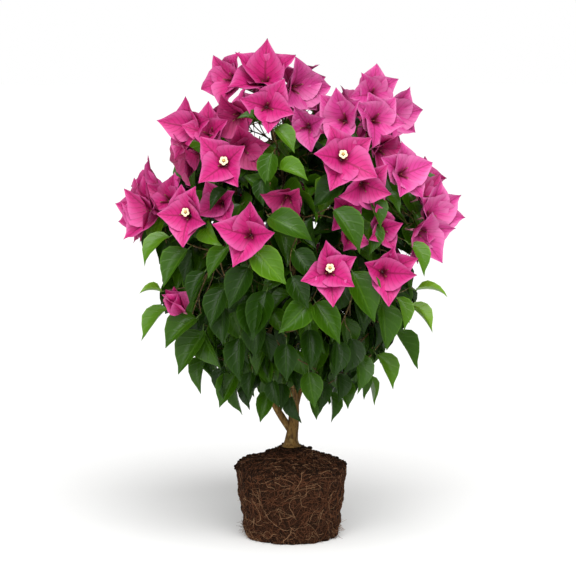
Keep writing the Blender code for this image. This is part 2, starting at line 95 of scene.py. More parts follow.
def way_from_angles(azimuth: float, elevation: float) -> Vector:
    """The unit direction at two angles.

    Args:
        azimuth: Degrees from the front (-Y) towards +X.
        elevation: Degrees above the level.

    Returns:
        The direction.
    """
    turn = math.radians(azimuth)
    rise = math.radians(elevation)
    flat = math.cos(rise)
    return Vector((flat * math.sin(turn), -flat * math.cos(turn), math.sin(rise)))


def smooth_line(points: Line, steps: int) -> Line:
    """A Catmull-Rom line through some points.

    Args:
        points: The points that the line passes.
        steps: How many pieces lie between two of them.

    Returns:
        The line's points.
    """
    ends = [points[0], *points, points[-1]]
    line = []
    for before, start, end, after in zip(ends, ends[1:], ends[2:], ends[3:]):
        for step in range(steps):
            t = step / steps
            line.append(0.5 * (2 * start + (end - before) * t
                               + (2 * before - 5 * start + 4 * end - after) * t ** 2
                               + (3 * start - before - 3 * end + after) * t ** 3))
    return [*line, points[-1]]


def bent_line(start: Vector, pull: Vector, end: Vector, count: int) -> Line:
    """A number of points on the quadratic curve from start to end that pull draws towards it."""
    shares = [step / (count - 1) for step in range(count)]
    return [start.lerp(pull, t).lerp(pull.lerp(end, t), t) for t in shares]


def taper(thick: float, thin: float, count: int) -> list[float]:
    """A number of radii in even steps from one to another."""
    return [thick + (thin - thick) * index / (count - 1) for index in range(count)]


def at_share(line: Line, share: float) -> tuple[Vector, Vector]:
    """The place and the direction at a share of a line's pieces.

    Args:
        line: The line's points.
        share: From 0 at its start to 1 at its end.

    Returns:
        The point and the unit direction there.
    """
    place = share * (len(line) - 1)
    index = min(int(place), len(line) - 2)
    start, end = line[index], line[index + 1]
    return start.lerp(end, place - index), (end - start).normalized()


def side_frame(axis: Vector, up: Vector) -> tuple[Vector, Vector]:
    """Two unit vectors square to an axis.

    Args:
        axis: The unit axis.
        up: What the first vector comes as near to as it can.

    Returns:
        The vector near up, and the one square to it and to the axis.
    """
    first = up - axis * up.dot(axis)
    if first.length < 0.05:
        first = axis.orthogonal()
    first.normalize()
    return first, axis.cross(first)


def stand(place: Vector, way: Vector, up: Vector, size: float) -> np.ndarray:
    """The placing of a blade: its length along way, its upper face towards up.

    Args:
        place: Where the blade's base goes.
        way: The unit direction of its length.
        up: The side that its upper face looks to.
        size: Its length in metres.

    Returns:
        A 4 by 4 matrix for a template one unit long.
    """
    rise, _ = side_frame(way, up)
    side = way.cross(rise)
    placed = Matrix((side, way, rise)).transposed().to_4x4() @ Matrix.Scale(size, 4)
    placed.translation = place
    return np.array(placed)


# --- Modelling helpers: shapes made once with operators, then laid out many times ---


@dataclass(frozen=True)
class Shape:
    """A modelled shape as plain arrays, ready to be laid out again and again.

    Attributes:
        points: Its corners, one row each.
        corners: The corner numbers of all its faces, one face after the other.
        sizes: How many corners each face has.
        flats: The place of each face corner on the pattern, one row each.
    """

    points: np.ndarray
    corners: np.ndarray
    sizes: np.ndarray
    flats: np.ndarray

    @cached_property
    def faces(self) -> list[tuple[int, ...]]:
        """Its faces as tuples of corner numbers."""
        ends = np.cumsum(self.sizes)
        return [tuple(self.corners[end - size:end]) for end, size in zip(ends, self.sizes)]

    def laid(self, placing: np.ndarray) -> np.ndarray:
        """The places of its corners under a 4 by 4 matrix."""
        return self.points @ placing[:3, :3].T + placing[:3, 3]


def open_tool(thing: Thing) -> bmesh.types.BMesh:
    """Open an object alone in edit mode, with nothing selected.

    Args:
        thing: The object to edit.

    Returns:
        Its edit mesh.
    """
    bpy.ops.object.select_all(action="DESELECT")
    thing.select_set(True)
    bpy.context.view_layer.objects.active = thing
    bpy.ops.object.mode_set(mode="EDIT")
    bpy.ops.mesh.select_mode(type="VERT")
    bpy.ops.mesh.select_all(action="DESELECT")
    return bmesh.from_edit_mesh(thing.data)


def choose(thing: Thing, numbers: set[int]) -> bmesh.types.BMesh:
    """Select some corners of the object in edit mode, and nothing else.

    Args:
        thing: The object in edit mode.
        numbers: The numbers of the corners.

    Returns:
        Its edit mesh.
    """
    work = bmesh.from_edit_mesh(thing.data)
    for corner in work.verts:
        corner.select = corner.index in numbers
    work.select_flush_mode()
    bmesh.update_edit_mesh(thing.data)
    return work


def take_shape(thing: Thing) -> Shape:
    """Read a finished object into arrays and remove it.

    Args:
        thing: The modelled object, at the origin.

    Returns:
        The shape.
    """
    mesh = thing.data
    points = np.empty(len(mesh.vertices) * 3)
    mesh.vertices.foreach_get("co", points)
    corners = np.empty(len(mesh.loops), int)
    mesh.loops.foreach_get("vertex_index", corners)
    sizes = np.array([face.loop_total for face in mesh.polygons])
    flats = np.zeros(len(mesh.loops) * 2)
    if mesh.uv_layers:
        mesh.uv_layers[0].uv.foreach_get("vector", flats)
    shape = Shape(points.reshape(-1, 3), corners, sizes, flats.reshape(-1, 2))
    bpy.data.objects.remove(thing, do_unlink=True)
    bpy.data.meshes.remove(mesh)
    return shape


def apply_place() -> None:
    """Put the active object's place into its mesh."""
    bpy.ops.object.transform_apply(location=True, rotation=True, scale=True)


def rod_shape(sides: int, rings: int) -> Shape:
    """A closed straight rod of unit radius, one unit of height for each ring.

    Args:
        sides: How many sides it has.
        rings: How many pieces its length has.

    Returns:
        The rod, its foot at the origin and its length up +Z.
    """
    bpy.ops.object.select_all(action="DESELECT")
    bpy.ops.mesh.primitive_circle_add(vertices=sides, radius=1.0, fill_type="NGON")
    rod = bpy.context.object
    bpy.ops.object.mode_set(mode="EDIT")
    bpy.ops.mesh.select_all(action="SELECT")
    for _ in range(rings):
        bpy.ops.mesh.extrude_region_move(TRANSFORM_OT_translate={"value": (0.0, 0.0, 1.0)})
    bpy.ops.mesh.select_all(action="SELECT")
    bpy.ops.mesh.normals_make_consistent(inside=False)
    bpy.ops.object.mode_set(mode="OBJECT")
    return take_shape(rod)


def rod_along(rod: Shape, line: Line, radii: list[float],
              relief: "BarkRelief | None" = None) -> np.ndarray:
    """Bend a rod along a line.

    Args:
        rod: The straight rod.
        line: The line's points.
        radii: The rod's radius at each of them.
        relief: What to add to the radius, or None.

    Returns:
        The places of the rod's corners.
    """
    rings = int(round(rod.points[:, 2].max()))
    knots = np.array([tuple(point) for point in line])
    reach = np.concatenate(([0.0], np.cumsum(np.linalg.norm(np.diff(knots, axis=0), axis=1))))
    stops = np.linspace(0.0, reach[-1], rings + 1)
    centres = [Vector(tuple(np.interp(stop, reach, knots[:, axis]) for axis in range(3)))
               for stop in stops]
    thick = np.interp(stops, reach, radii)
    axis = (centres[1] - centres[0]).normalized()
    first, _ = side_frame(axis, Vector((0.0, -1.0, 0.0)))
    frames = []
    for index in range(rings + 1):
        before, after = centres[max(index - 1, 0)], centres[min(index + 1, rings)]
        axis = (after - before).normalized()
        first, second = side_frame(axis, first)
        frames.append((first, second))
    places = np.empty_like(rod.points)
    for number, (x, y, z) in enumerate(rod.points):
        ring = int(round(z))
        radius = thick[ring]
        if relief is not None:
            radius += relief(math.atan2(y, x), stops[ring], radius)
        first, second = frames[ring]
        places[number] = centres[ring] + (first * x + second * y) * radius
    return places


@dataclass
class Stock:
    """Shapes of one kind, one finish and one slot, gathered until they are joined into one piece."""

    name: str
    finish: "Finish"
    slot: str
    points: list[np.ndarray] = field(default_factory=list)
    shapes: list[Shape] = field(default_factory=list)

    def add(self, shape: Shape, points: np.ndarray) -> None:
        """Take in one copy of a shape, its corners at these points."""
        self.shapes.append(shape)
        self.points.append(points)

    def bend(self, rod: Shape, line: Line, radii: list[float]) -> None:
        """Take in one copy of a rod, bent along a line with a radius at each of its points."""
        self.add(rod, rod_along(rod, line, radii))

    def join(self, nodes: tuple[str, ...]) -> Thing:
        """Join the copies into one finished piece.

        Args:
            nodes: The nodes of the part that the piece stands for.

        Returns:
            The piece.
        """
        starts = np.cumsum([0] + [len(points) for points in self.points])
        corners = np.concatenate([shape.corners + start
                                  for shape, start in zip(self.shapes, starts)])
        sizes = np.concatenate([shape.sizes for shape in self.shapes])
        flats = np.concatenate([shape.flats for shape in self.shapes])
        mesh = bpy.data.meshes.new(self.name)
        mesh.vertices.add(int(starts[-1]))
        mesh.vertices.foreach_set("co", np.concatenate(self.points).ravel())
        mesh.loops.add(len(corners))
        mesh.loops.foreach_set("vertex_index", corners)
        mesh.polygons.add(len(sizes))
        mesh.polygons.foreach_set("loop_start", np.concatenate(([0], np.cumsum(sizes)[:-1])))
        if flats.any():
            mesh.uv_layers.new(name=PATTERN_MAP).uv.foreach_set("vector", flats.ravel())
        mesh.update(calc_edges=True)
        mesh.shade_smooth()
        piece = bpy.data.objects.new(self.name, mesh)
        bpy.context.scene.collection.objects.link(piece)
        settle_piece(piece, self.finish, nodes)
        return piece


def settle_piece(piece: Thing, finish: "Finish", nodes: tuple[str, ...]) -> None:
    """Give a finished piece its material, its body and the nodes that it stands for.

    Args:
        piece: The piece, its place in its mesh.
        finish: What it is made of.
        nodes: The nodes of the part that it replaces.
    """
    piece.data.materials.clear()
    piece.data.materials.append(finish.make())
    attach(piece, BODY)
    if nodes:
        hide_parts(*nodes)
    triangles = sum(face.loop_total - 2 for face in piece.data.polygons)
    LOG.info("%s: %d triangles", piece.name, triangles)


# --- Finishes ---


def to_linear(code: str) -> tuple[float, float, float, float]:
    """A colour for a shader.

    Args:
        code: The colour as an sRGB hex value.

    Returns:
        Linear red, green, blue and an alpha of 1.
    """
    values = [int(code[index:index + 2], 16) / 255.0 for index in (1, 3, 5)]
    light = [v / 12.92 if v <= 0.04045 else ((v + 0.055) / 1.055) ** 2.4 for v in values]
    return (light[0], light[1], light[2], 1.0)


def add_node(tree: Tree, kind: str, settings: dict | None = None,
             links: dict | None = None) -> bpy.types.Node:
    """Add a node with its settings and links.

    Args:
        tree: The material's node tree.
        kind: The node's type.
        settings: Values by input name or number, or by property name.
        links: Output sockets by the input that they feed.

    Returns:
        The node.
    """
    node = tree.nodes.new(kind)
    for key, value in (settings or {}).items():
        if isinstance(key, str) and key not in node.inputs:
            setattr(node, key, value)
    for key, value in (settings or {}).items():
        if isinstance(key, int) or key in node.inputs:
            node.inputs[key].default_value = value
    for key, socket in (links or {}).items():
        tree.links.new(socket, node.inputs[key])
    return node


def band(tree: Tree, value: Socket, low: float, high: float) -> Socket:
    """A soft step: 0 where the value is at low, 1 where it is at high.

    Args:
        tree: The material's node tree.
        value: The value that is stepped.
        low: Where the step is 0.
        high: Where the step is 1, which may lie under low.

    Returns:
        The step's output.
    """
    start, end, first, last = (low, high, 0.0, 1.0) if low < high else (high, low, 1.0, 0.0)
    node = add_node(tree, "ShaderNodeMapRange",
                    {"interpolation_type": "SMOOTHSTEP", "From Min": start, "From Max": end,
                     "To Min": first, "To Max": last}, {"Value": value})
    return node.outputs["Result"]


def math_of(tree: Tree, operation: str, links: dict, settings: dict | None = None) -> Socket:
    """A sum of sockets and numbers, both given by the input that they feed."""
    return add_node(tree, "ShaderNodeMath", {"operation": operation, **(settings or {})}, links).outputs[0]


def scaled(tree: Tree, value: Socket, factor: float, shift: float = 0.0) -> Socket:
    """A value times a factor, plus a shift."""
    return math_of(tree, "MULTIPLY_ADD", {0: value}, {1: factor, 2: shift})


def mixed(tree: Tree, share: Socket, under: Socket | str, over: str) -> Socket:
    """A colour laid over another.

    Args:
        tree: The material's node tree.
        share: How far the upper colour covers the lower one.
        under: The lower colour, as a socket or as a hex value.
        over: The upper colour, as a hex value.

    Returns:
        The mixed colour's output.
    """
    settings = {"data_type": "RGBA", 7: to_linear(over)}
    links = {0: share}
    if isinstance(under, str):
        settings[6] = to_linear(under)
    else:
        links[6] = under
    return add_node(tree, "ShaderNodeMix", settings, links).outputs[2]


def finish_paint(tree: Tree, shader: bpy.types.Node, colour: Socket, height: Socket,
                 strength: float, relief: float) -> None:
    """Lead a pattern's colour and its relief into the shader.

    Args:
        tree: The material's node tree.
        shader: Its Principled shader.
        colour: The pattern's colour.
        height: What stands out.
        strength: How strongly it is felt.
        relief: How far it stands out, in metres.
    """
    bump = add_node(tree, "ShaderNodeBump", {"Strength": strength, "Distance": relief}, {"Height": height})
    tree.links.new(colour, shader.inputs["Base Color"])
    tree.links.new(bump.outputs[0], shader.inputs["Normal"])


@dataclass(frozen=True)
class Finish:
    """What a piece is made of: colours as sRGB hex values, and 0.5 is the whole of a shine."""

    name: str
    colour: str
    roughness: float = 0.6
    ior: float = 1.45
    shine: float = 0.5

    def make(self) -> bpy.types.Material:
        """The material, made once.

        Returns:
            The material.
        """
        found = bpy.data.materials.get(self.name)
        if found is not None:
            return found
        material = bpy.data.materials.new(self.name)
        material.use_nodes = True
        tree = material.node_tree
        shader = tree.nodes["Principled BSDF"]
        shader.inputs["Base Color"].default_value = to_linear(self.colour)
        shader.inputs["Roughness"].default_value = self.roughness
        shader.inputs["IOR"].default_value = self.ior
        shader.inputs["Specular IOR Level"].default_value = self.shine
        self.paint(tree, shader)
        return material

    def paint(self, tree: Tree, shader: bpy.types.Node) -> None:
        """Add the pattern to a new material: none here."""


@dataclass(frozen=True)
class BladeFinish(Finish):
    """A leaf's or a bract's skin: a midrib, side veins and a fine margin, on the blade's own map.

    The pattern map runs from edge to edge across the blade and from base to tip, so that
    places on it are shares. Veins under a pixel wide are drawn as coarse as they need to be
    to show. A mark's share says how strongly it shows, the slant how far the side veins run
    forward, and an empty colour of the throat or of the dry point leaves that mark out.
    """

    vein: str = "#ffffff"
    margin: str = "#ffffff"
    vein_count: float = 6.0
    vein_slant: float = 1.6
    vein_share: float = 0.4
    rib_share: float = 0.8
    margin_share: float = 0.5
    margin_from: float = 0.86
    throat: str = ""
    throat_reach: float = 0.3
    point: str = ""
    relief: float = 0.0004

    def paint(self, tree: Tree, shader: bpy.types.Node) -> None:
        """Draw the veins, the margin, the throat and the dry tip.

        Args:
            tree: The material's node tree.
            shader: Its Principled shader.
        """
        flat = add_node(tree, "ShaderNodeUVMap", {"uv_map": PATTERN_MAP})
        parts = add_node(tree, "ShaderNodeSeparateXYZ", links={0: flat.outputs[0]})
        along = parts.outputs["Y"]
        centred = scaled(tree, parts.outputs["X"], 2.0, -1.0)
        across = math_of(tree, "ABSOLUTE", {0: centred})
        turns = scaled(tree, across, -self.vein_slant * math.tau)
        phase = math_of(tree, "MULTIPLY_ADD", {0: along, 2: turns}, {1: self.vein_count * math.tau})
        veins = band(tree, math_of(tree, "SINE", {0: phase}), 0.60, 1.0)
        rib = band(tree, across, 0.085, 0.02)
        # The paler margin: the leaf's own fine pale rim; on a bract, a broad band that is partly painted
        # highlight.
        edge = band(tree, across, self.margin_from, 0.98)
        colour = mixed(tree, scaled(tree, veins, self.vein_share), self.colour, self.vein)
        colour = mixed(tree, scaled(tree, edge, self.margin_share), colour, self.margin)
        colour = mixed(tree, scaled(tree, rib, self.rib_share), colour, self.vein)
        if self.throat:
            spread = math_of(tree, "MULTIPLY_ADD", {0: across, 2: along}, {1: 0.10})
            colour = mixed(tree, band(tree, spread, self.throat_reach, 0.06), colour, self.throat)
        if self.point:
            colour = mixed(tree, band(tree, along, 0.93, 0.985), colour, self.point)
        ridges = math_of(tree, "MAXIMUM", {0: veins, 1: rib})
        finish_paint(tree, shader, colour, ridges, 0.5, self.relief)


@dataclass(frozen=True)
class BarkFinish(Finish):
    """Young bark: olive-brown, streaked along the limb, with pale cork spots. Sizes in metres."""

    streak: str = "#2c1e0e"
    cork: str = "#8a744c"
    streak_size: float = 0.0022
    stretch: float = 5.0
    relief: float = 0.0006

    def paint(self, tree: Tree, shader: bpy.types.Node) -> None:
        """Draw the streaks and the cork spots.

        Args:
            tree: The material's node tree.
            shader: Its Principled shader.
        """
        where = add_node(tree, "ShaderNodeTexCoord").outputs["Object"]
        drawn = add_node(tree, "ShaderNodeMapping", {"Scale": (1.0, 1.0, 1.0 / self.stretch)},
                         {"Vector": where})
        grain = add_node(tree, "ShaderNodeTexNoise",
                         {"Scale": 1.0 / self.streak_size, "Detail": 5.0, "Roughness": 0.65},
                         {"Vector": drawn.outputs[0]})
        spots = add_node(tree, "ShaderNodeTexNoise",
                         {"Scale": 0.35 / self.streak_size, "Detail": 2.0}, {"Vector": where})
        colour = mixed(tree, band(tree, grain.outputs["Fac"], 0.56, 0.40), self.colour, self.streak)
        colour = mixed(tree, band(tree, spots.outputs["Fac"], 0.55, 0.74), colour, self.cork)
        finish_paint(tree, shader, colour, grain.outputs["Fac"], 0.8, self.relief)


@dataclass(frozen=True)
class PeatFinish(Finish):
    """Moist fibrous peat: painted shade makes it nearly black in the hollows of its relief, red-brown
    where fibres show.
    """

    painted_hollow_shade: str = "#120a06"
    fibre: str = "#6b4530"
    crumb_size: float = 0.0035
    relief: float = 0.0020

    def paint(self, tree: Tree, shader: bpy.types.Node) -> None:
        """Draw the crumbs, with painted shade in their hollows, and the dry fibres.

        Args:
            tree: The material's node tree.
            shader: Its Principled shader.
        """
        where = add_node(tree, "ShaderNodeTexCoord").outputs["Object"]
        crumbs = add_node(tree, "ShaderNodeTexNoise",
                          {"Scale": 1.0 / self.crumb_size, "Detail": 6.0, "Roughness": 0.7,
                           "Distortion": 0.8}, {"Vector": where})
        strands = add_node(tree, "ShaderNodeTexNoise",
                           {"Scale": 0.5 / self.crumb_size, "Detail": 4.0, "Roughness": 0.55,
                            "Distortion": 3.0}, {"Vector": where})
        # Painted shade: the low parts of the crumbs' relief turn nearly black.
        colour = mixed(tree, band(tree, crumbs.outputs["Fac"], 0.52, 0.36), self.colour, self.painted_hollow_shade)
        fibres = scaled(tree, band(tree, strands.outputs["Fac"], 0.53, 0.66), 0.6)
        colour = mixed(tree, fibres, colour, self.fibre)
        finish_paint(tree, shader, colour, crumbs.outputs["Fac"], 1.0, self.relief)


@dataclass(frozen=True)
class LeafFinish(BladeFinish):
    """A waxy leaf: a soft shine on a green that pales at the veins and at the rim."""

    roughness: float = 0.30
    ior: float = 1.42
    vein_share: float = 0.18
    rib_share: float = 0.6
    margin_share: float = 0.4


@dataclass(frozen=True)
class BractFinish(BladeFinish):
    """A papery bract: a dull shine, a darker net of veins, paler edges that are partly its own pale rim
    and partly painted highlight where light shines through, and a maroon throat.
    """

    roughness: float = 0.5
    ior: float = 1.40
    shine: float = 0.4
    vein_count: float = 9.0
    vein_slant: float = 2.6
    vein_share: float = 0.42
    # A broad paler band towards the edges: partly the bract's pale rim, partly painted highlight.
    margin_share: float = 0.40
    margin_from: float = 0.30
    throat_reach: float = 0.36


# From the old leaves deep in the crown, darkened as painted shade, to the young ones at the tips, paled as
# painted light.
LEAF_TINTS = {
    "deep": LeafFinish("leaf_deep", "#193402", 0.32, shine=0.26, vein="#2c4c08", margin="#345610",
                       rib_share=0.55, margin_share=0.3),
    "mid": LeafFinish("leaf_mid", "#2d5003", shine=0.30, vein="#446a12", margin="#527a1c",
                      margin_share=0.35),
    "bright": LeafFinish("leaf_bright", "#477008", shine=0.34, vein="#60881c", margin="#729c2c"),
    "young": LeafFinish("leaf_young", "#668f15", 0.32, shine=0.36, vein="#7ea62c", margin="#8fb63c",
                        vein_share=0.2),
}
# Lit and shaded copies of one bract colour: painted shade on the blossoms that face down or lie low,
# painted light on the upper right ones where the key light falls, and random tone among the rest. Their
# margin colours are partly painted highlight.
BRACT_TINTS = {
    "deep": BractFinish("bract_deep", "#aa1e60", vein="#7a1240", margin="#c85892",
                        throat="#741a36", point="#4a2038"),
    "rose": BractFinish("bract_rose", "#bc2272", vein="#8c184a", margin="#dc78b4",
                        throat="#821c3e", point="#552a48"),
    "light": BractFinish("bract_light", "#c83a8a", vein="#a0285f", margin="#e893c6", vein_share=0.40,
                         margin_share=0.42, throat="#8e2248", throat_reach=0.34, point="#603450"),
}
# Downy tubes and their stalks, as dull as the bracts and redder, and a waxy cream flower.
TUBE_SKIN = Finish("tube_skin", "#6e2030", 0.5, 1.45)
TUBE_TIP = Finish("tube_tip", "#8c7a42", 0.5, 1.45)
PEDICEL_SKIN = Finish("pedicel_skin", "#c0708a", 0.5, 1.45)
BUD_SKIN = Finish("bud_skin", "#d8689c", 0.55, 1.45)
FLOWER_CREAM = Finish("flower_cream", "#f8e2bb", 0.55, 1.40)
FLOWER_EYE = Finish("flower_eye", "#d8c060", 0.6, 1.40)
# Woody bark on the trunk and boughs, and the finer bark of this year's twigs and stalks.
WOOD_BARK = BarkFinish("wood_bark", "#77592a", 0.78, 1.45, 0.3, streak="#4e3818", cork="#8c7242")
TWIG_BARK = BarkFinish("twig_bark", "#5c4a26", 0.65, 1.45, 0.3, streak="#3a2a18", cork="#86784a",
                       streak_size=0.0015, relief=0.0002)
STALK_SKIN = Finish("stalk_skin", "#4f6a2a", 0.5, 1.45)
# Potting peat, nearly without a shine, held by a net of fine roots.
PEAT = PeatFinish("moist_peat", "#23140a", 0.92, 1.40, 0.12)
ROOT_DARK = Finish("root_dark", "#402515", 0.8, 1.40, 0.2)
ROOT_RED = Finish("root_red", "#613b25", 0.75, 1.40, 0.2)
ROOT_PALE = Finish("root_pale", "#8d6b4e", 0.75, 1.40, 0.2)
# A matt white floor.
FLOOR_PAINT = Finish("floor_paint", "#f8f8f7", 0.9, 1.40)


# --- The growth rule, the same as the part's solids ---


@dataclass(frozen=True)
class MassPlan:
    """Where one mass of foliage grows.

    Attributes:
        azimuth: Degrees from the front towards +X, seen from the crown's middle.
        elevation: Degrees above the level.
        parent: The limb that carries it.
        share: Where on that limb, and 1 is the limb's own tip.
    """

    azimuth: float
    elevation: float
    parent: str
    share: float

    def way(self) -> Vector:
        """The direction in which the mass grows."""
        return way_from_angles(self.azimuth, self.elevation)


MASSES = {
    "top": MassPlan(-50, 76, "trunk", 1.0),
    "front_top": MassPlan(-6, 38, "trunk", 0.78),
    "upper_left": MassPlan(-68, 36, "left_stem", 0.86),
    "upper_right": MassPlan(60, 45, "trunk", 0.73),
    "upper_back": MassPlan(165, 48, "trunk", 0.83),
    "left": MassPlan(-64, 6, "left_stem", 1.0),
    "front_left": MassPlan(-30, -5, "trunk", 0.46),
    "front": MassPlan(6, 9, "trunk", 0.66),
    "front_right": MassPlan(28, -18, "trunk", 0.56),
    "right": MassPlan(70, 8, "trunk", 0.50),
    "back_right": MassPlan(122, 12, "trunk", 0.62),
    "back": MassPlan(176, 4, "trunk", 0.54),
    "back_left": MassPlan(-122, 12, "trunk", 0.69),
    "low_front": MassPlan(-8, -44, "trunk", 0.24),
    "low_left": MassPlan(-80, -40, "left_stem", 0.33),
    "low_right": MassPlan(66, -44, "trunk", 0.36),
    "low_back_right": MassPlan(136, -38, "trunk", 0.28),
    "low_back_left": MassPlan(-148, -38, "trunk", 0.41),
}


@dataclass(frozen=True)
class Shoot:
    """One shoot of the crown: its way from the middle, and its number, which seeds its dice."""

    way: Vector
    blossoms: bool
    number: int


@dataclass(frozen=True)
class Crown:
    """The egg that the outermost tips reach, and the shoots that fill it."""

    middle: tuple[float, float, float] = (-0.002, 0.0, 0.365)
    half_width: float = 0.205
    half_height: float = 0.234
    narrowing: float = 0.016
    slack: float = 1.02
    waist_dent: float = 0.13
    waist_elevation: float = -18.0
    waist_spread: float = 10.0
    skirt_dent: float = 0.06
    skirt_middle: float = -46.0
    skirt_spread: float = 12.0
    shoulder_dent: float = 0.14
    shoulder_from: float = 14.0
    shoulder_full: float = 58.0
    valley_dent: float = 0.16
    valley_spread: float = 7.0
    valley_fade: float = 25.0
    shoot_count: int = 226
    skirt_elevation: float = -64.0
    shade_elevation: float = -22.0
    shade_thinning: int = 4
    blossom_from: float = -24.0
    blossom_full: float = 22.0
    blossom_most: float = 0.88

    def radius(self, way: Vector) -> float:
        """How far the crown reaches along a unit direction, in metres."""
        width = self.half_width - self.narrowing * max(way.z, 0.0)
        return 1.0 / math.hypot(math.hypot(way.x, way.y) / width, way.z / self.half_height)

    def point(self, way: Vector, reach: float) -> Vector:
        """The point at a share of the crown's radius along a unit direction."""
        return Vector(self.middle) + way * self.radius(way) * reach

    def way_to(self, place: Vector) -> Vector:
        """The unit direction from the crown's middle to a place."""
        return (place - Vector(self.middle)).normalized()

    def reach(self, place: Vector) -> float:
        """The share of the crown's radius at which a place lies."""
        arm = place - Vector(self.middle)
        return arm.length / self.radius(arm.normalized())

    def depth(self, place: Vector) -> float:
        """How far out a place lies, 0 at the crown's middle and 1 at its outer tips."""
        arm, way = place - Vector(self.middle), self.way_to(place)
        return arm.length / (self.radius(way) * self.filled(way))

    def fullness(self, ways: np.ndarray) -> np.ndarray:
        """How far the crown is filled: less at its waist, at its shoulder and between two masses.

        Args:
            ways: Unit directions from its middle, one row each.

        Returns:
            The share of its radius for each of them.
        """
        elevations = np.degrees(np.arcsin(np.clip(ways[:, 2], -1.0, 1.0)))
        masses = np.array([tuple(plan.way()) for plan in MASSES.values()])
        angles = np.degrees(np.arccos(np.clip(ways @ masses.T, -1.0, 1.0)))
        nearest = np.sort(angles, axis=1)
        valley = np.exp(-((nearest[:, 1] - nearest[:, 0]) / self.valley_spread) ** 2)
        valley *= np.clip(1.0 + elevations / self.valley_fade, 0.0, 1.0)
        waist = np.exp(-((elevations - self.waist_elevation) / self.waist_spread) ** 2)
        skirt = np.exp(-((elevations - self.skirt_middle) / self.skirt_spread) ** 2)
        rise = (elevations - self.shoulder_from) / (self.shoulder_full - self.shoulder_from)
        shoulder = np.clip(rise, 0.0, 1.0)
        return (1.0 - self.valley_dent * valley - self.waist_dent * waist - self.skirt_dent * skirt
                - self.shoulder_dent * shoulder)

    def filled(self, way: Vector) -> float:
        """How far the crown is filled along one unit direction, as a share of its radius."""
        return float(self.fullness(np.array([tuple(way)]))[0])

    def filled_point(self, way: Vector, reach: float) -> Vector:
        """The point at a share of the filled crown's radius along a unit direction."""
        return self.point(way, reach * self.filled(way))

    def holds(self, points: np.ndarray, share: float = 1.0) -> bool:
        """Whether all the points lie within the filled crown.

        Args:
            points: The points, one row each.
            share: How much of the filled crown is open to them.

        Returns:
            True if none lies outside.
        """
        arms = points - np.array(self.middle)
        lengths = np.linalg.norm(arms, axis=1)
        ways = arms / lengths[:, None]
        width = self.half_width - self.narrowing * np.maximum(ways[:, 2], 0.0)
        flat = np.hypot(ways[:, 0], ways[:, 1]) / width
        shares = lengths * np.hypot(flat, ways[:, 2] / self.half_height)
        return bool((shares < self.slack * share * self.fullness(ways)).all())

    def spiral(self, count: int, step: int) -> tuple[Vector, float]:
        """A step's direction of a number spread by the golden angle, and its elevation in degrees."""
        elevation = math.degrees(math.asin(1.0 - (2.0 * step + 1.0) / count))
        return way_from_angles(math.degrees(step * GOLDEN_ANGLE), elevation), elevation

    def shoots(self, first_number: int) -> list[Shoot]:
        """Every shoot but the ones that lead the front.

        Args:
            first_number: The number of the first of them.

        Returns:
            The shoots.
        """
        found = []
        for step in range(self.shoot_count):
            way, elevation = self.spiral(self.shoot_count, step)
            if elevation < self.skirt_elevation:
                continue
            if elevation < self.shade_elevation and step % self.shade_thinning == 0:
                continue
            chance = (elevation - self.blossom_from) / (self.blossom_full - self.blossom_from)
            draw = random.Random(f"{SEED} kind {step}").random()
            blossoms = draw < min(chance, 1.0) * self.blossom_most
            found.append(Shoot(way, blossoms, first_number + step))
        return found


@dataclass(frozen=True)
class Limb:
    """One tapering limb: line and radii as the solids have them, and the same curve finer."""

    line: Line
    radii: list[float]
    fine: Line


